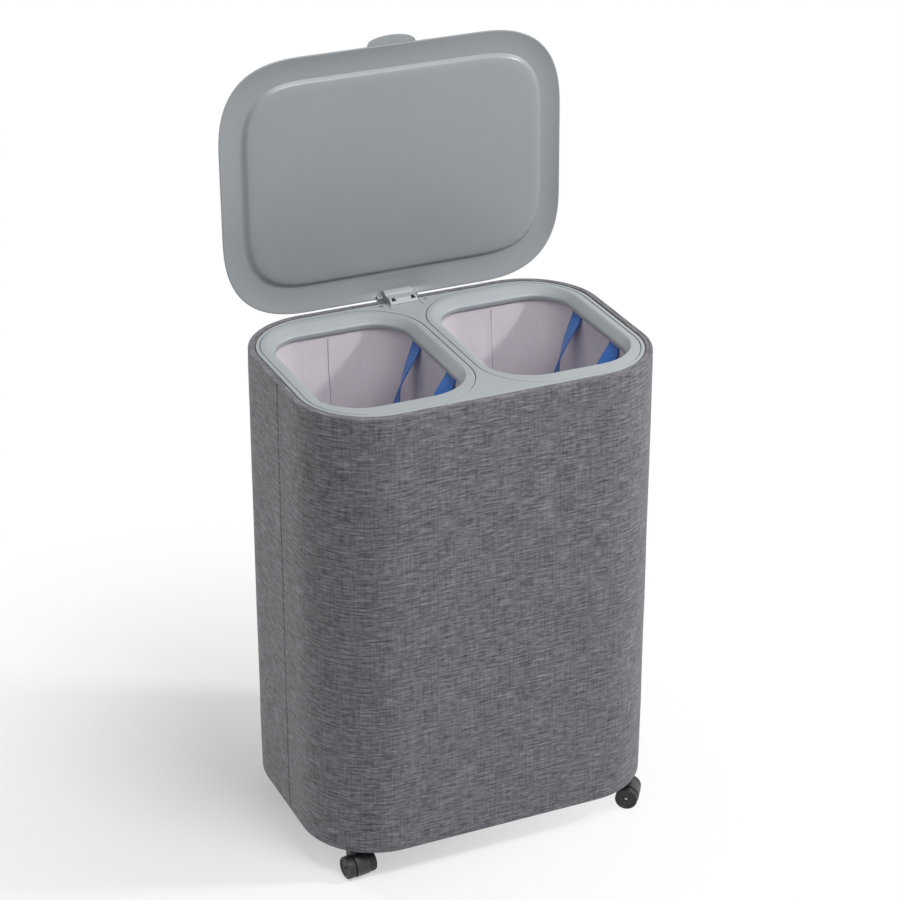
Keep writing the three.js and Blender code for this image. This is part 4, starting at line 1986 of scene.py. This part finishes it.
@dataclass
class Casters(Assembly):
    """Four casters, each a hood over two wheels."""

    posts: tuple[Post, ...] = (
        Post("front_left", -202.0, -130.0, 8.0),
        Post("front_right", 202.0, -130.0, 54.0),
        Post("rear_left", -202.0, 130.0, 158.0),
        Post("rear_right", 202.0, 130.0, 196.0),
    )
    trail: float = 13.0
    axle_z: float = 15.693
    axle_hole: float = 2.3
    radius: float = 15.69
    wheel_width: float = 10.5
    wheel_gap: float = 0.4
    wheel_back: float = 13.2
    tread_edge: tuple[tuple[float, float], ...] = ((1.5, 0.0), (0.4, 0.45), (0.0, 1.5))
    wheel_face: tuple[tuple[float, float], ...] = (
        (12.2, 0.0),
        (11.4, 1.1),
        (5.2, 1.2),
        (4.6, 0.5),
        (2.3, 0.5),
    )
    hood_width: float = 20.0
    hood_top: float = 36.0
    hood_reach: float = 16.5
    hood_end: float = 230.0
    hood_tail: tuple[tuple[float, float], ...] = ((0.0, -0.6), (0.55, -0.35))
    hood_rounding: float = 1.1
    boss_bottom: float = 20.0
    stem_hole: float = 4.3
    stem_floor: float = 22.7

    def _hood(self) -> bpy.types.Object:
        """Models the hood.

        Returns:
            The hood, in its own frame with the stem at the origin.
        """

        def up(height: float) -> Vector:
            """A place on the stem's line, in metres."""
            return Vector((0, 0, height)) * MM

        y, z, reach, half = -self.trail, self.axle_z, self.hood_reach, self.hood_width / 2
        profile = [
            (0.0, self.boss_bottom),
            (0.0, self.hood_top),
            (-half, self.hood_top),
            *[
                (y + reach * math.cos(a), z + reach * math.sin(a))
                for a in arc(QUARTER, math.radians(self.hood_end), 22)
            ],
            *[(y + along * reach, z + above * reach) for along, above in self.hood_tail],
        ]
        corners = [Vector((-half, *spot)) * MM for spot in profile]
        hood = prism("hood", corners, Vector((2 * half * MM, 0, 0)))
        tall = self.hood_top - self.boss_bottom
        centre = up(self.boss_bottom + tall / 2)
        carve(hood, [rod("boss", Way.UPRIGHT, centre, tall, half, sides=48)], Cut.WELD)
        deep = self.hood_top + OVERRUN - self.stem_floor
        centre = up(self.stem_floor + deep / 2)
        stem = rod("stem_hole", Way.UPRIGHT, centre, deep, self.stem_hole, sides=32)
        centre, through = Vector((0, y, z)) * MM, self.hood_width + 2 * OVERRUN
        axle = rod("axle_hole", Way.ACROSS, centre, through, self.axle_hole, sides=24)
        carve(hood, [stem, axle])
        soften(hood, self.hood_rounding, segments=3, angle=32)
        return hood

    def _wheel(self) -> bpy.types.Object:
        """Models a wheel with a dished outer face.

        Returns:
            The wheel, lying on its axle with its outer face at +X.
        """
        half = self.wheel_width / 2
        edge = [(self.radius - inward, half - back) for inward, back in self.tread_edge]
        profile = [
            (self.axle_hole, -half),
            (self.wheel_back, -half),
            *[(radius, -along) for radius, along in edge],
            *reversed(edge),
            *[(radius, half - back) for radius, back in self.wheel_face],
        ]
        bench = Bench("wheel")
        bpy.ops.mesh.primitive_circle_add(vertices=len(profile), radius=1, fill_type="NOTHING")
        for vert, (radius, along) in zip(bench.edit().verts, profile):
            vert.co = Vector((along, 0, radius)) * MM
        bmesh.update_edit_mesh(bench.mesh)
        bpy.ops.mesh.select_all(action="SELECT")
        bpy.ops.mesh.spin(steps=56, angle=2 * math.pi, center=(0, 0, 0), axis=(1, 0, 0))
        wheel = bench.done()
        soften(wheel, 0.0, angle=35)
        return wheel

    def _copy(self, master: bpy.types.Object, name: str, matrix: Matrix) -> bpy.types.Object:
        """Copies a master piece with its own mesh, and puts the copy in place.

        Args:
            master: What is copied.
            name: The copy's name.
            matrix: Where it goes.

        Returns:
            The copy.
        """
        mesh = master.data.copy()
        mesh.transform(matrix)
        piece = bpy.data.objects.new(name, mesh)
        bpy.context.scene.collection.objects.link(piece)
        return piece

    def build(self) -> None:
        """Models the hood and the wheel once, and puts copies under the body."""
        hood, wheel = self._hood(), self._wheel()
        offset = self.hood_width / 2 + self.wheel_gap + self.wheel_width / 2
        for post in self.posts:
            yaw = Matrix.Rotation(math.radians(post.yaw), 4, "Z")
            stand = Matrix.Translation(place(post.x, post.y, 0)) @ yaw
            body = f"caster_{post.name}"
            piece = self._copy(hood, f"{body}_hood_moulding", stand)
            self.fit(piece, body, Finish.BLACK_PLASTIC, f"{body}_hood")
            for side in Side:
                spot = Vector((side.value * offset, -self.trail, self.axle_z)) * MM
                turn = Matrix.Rotation(0 if side is Side.RIGHT else math.pi, 4, "Z")
                node = f"{body}_wheel_{side.word}"
                matrix = stand @ Matrix.Translation(spot) @ turn
                self.fit(self._copy(wheel, f"{node}_moulding", matrix), node, Finish.TREAD, node)
            for part in ("stem", "axle"):
                self.palette.dress_node(f"{body}_{part}", Finish.STEEL)
        for master in (hood, wheel):
            bpy.data.objects.remove(master)


# Studio


@dataclass(frozen=True)
class Lamp:
    """A soft square lamp."""

    name: str
    spot: tuple[float, float, float]
    size: float
    power: float


@dataclass
class Studio:
    """The floor, the lamps, the white surroundings and the camera."""

    camera_spot: tuple[float, float, float] = (-1.3348, -2.97107, 2.1418)
    camera_aim: tuple[float, float, float] = (-0.00028, -0.01117, 0.5335)
    lens: float = 108.53
    sensor: float = 36.0
    far_clip: float = 60.0
    floor_size: float = 12.0
    floor_z: float = -0.0002
    floor_colour: Colour = (0.86, 0.86, 0.86)
    white: Colour = (1.0, 1.0, 1.0)
    fade_middle: tuple[float, float, float] = (-0.292, 0.154, 0.0)
    fade_least: float = 0.2
    fade_start: float = -0.1
    fade_end: float = 0.85
    surround: float = 0.36
    lamp_aim: tuple[float, float, float] = (0.0, 0.0, 0.45)
    lamps: tuple[Lamp, ...] = (
        Lamp("key_lamp", (2.6, -1.17, 2.6), 0.3, 58.0),
        Lamp("top_lamp", (0.3, -1.3, 3.1), 1.1, 44.0),
        Lamp("side_lamp", (-1.5, 2.2, 1.0), 1.6, 30.0),
    )

    def _floor(self) -> None:
        """The pale floor, which fades into the white surroundings."""
        bpy.ops.object.select_all(action="DESELECT")
        bpy.ops.mesh.primitive_plane_add(size=self.floor_size, location=(0, 0, self.floor_z))
        floor = bpy.context.object
        floor.name = "studio_floor"
        recipe = Recipe("pale floor")
        recipe.shade(Base_Color=self.floor_colour, Roughness=0.9, Specular_IOR_Level=0.1)
        glow = recipe.node("ShaderNodeEmission", links={"Color": self.white, "Strength": 1.0})
        spread = recipe.coordinates((1, 1, 1), middle=self.fade_middle)
        away = recipe.node("ShaderNodeVectorMath", {"operation": "LENGTH"}, {0: spread})
        far = Value(recipe, away.outputs["Value"]).rise(self.fade_start, self.fade_end)
        share = recipe.seen() * (far * (1 - self.fade_least) + self.fade_least)
        faded = recipe.mixed(share, recipe.shader.outputs[0], glow.outputs[0])
        recipe.tree.links.new(faded, recipe.output.inputs["Surface"])
        floor.data.materials.append(recipe.material)

    def _surroundings(self) -> None:
        """A soft even light that the camera sees as white."""
        world = bpy.data.worlds.new("studio")
        bpy.context.scene.world = world
        nodes = Nodes(world)
        soft, bright = (
            nodes.node("ShaderNodeBackground", links={"Color": self.white, "Strength": strength})
            for strength in (self.surround, 1.0)
        )
        faded = nodes.mixed(nodes.seen(), soft.outputs[0], bright.outputs[0])
        nodes.node("ShaderNodeOutputWorld", links={"Surface": faded})

    def _aim(self, thing: bpy.types.Object, target: Sequence[float]) -> None:
        """Points a lamp or the camera at a spot."""
        way = Vector(target) - thing.location
        thing.rotation_euler = way.to_track_quat("-Z", "Y").to_euler()

    def build(self) -> None:
        """Sets up the whole studio."""
        self._floor()
        self._surroundings()
        for lamp in self.lamps:
            bpy.ops.object.light_add(type="AREA", location=lamp.spot)
            light = bpy.context.object
            light.name = lamp.name
            light.data.shape = "SQUARE"
            light.data.size = lamp.size
            light.data.energy = lamp.power
            self._aim(light, self.lamp_aim)
        bpy.ops.object.camera_add(location=self.camera_spot)
        camera = bpy.context.object
        camera.data.sensor_width = self.sensor
        camera.data.lens = self.lens
        camera.data.clip_end = self.far_clip
        self._aim(camera, self.camera_aim)
        scene = bpy.context.scene
        scene.camera = camera
        scene.view_settings.view_transform = "Standard"


def main() -> None:
    """Builds every sub-assembly in order."""
    logging.basicConfig(level=logging.INFO, format="%(message)s")
    palette = Palette()
    Studio().build()
    Wall(palette).build()
    TopFrame(palette).build()
    for side in Side:
        Bin(palette, side=side).build()
    for kind in (Hinge, Lid, Casters):
        kind(palette).build()


if __name__ == "__main__":
    main()
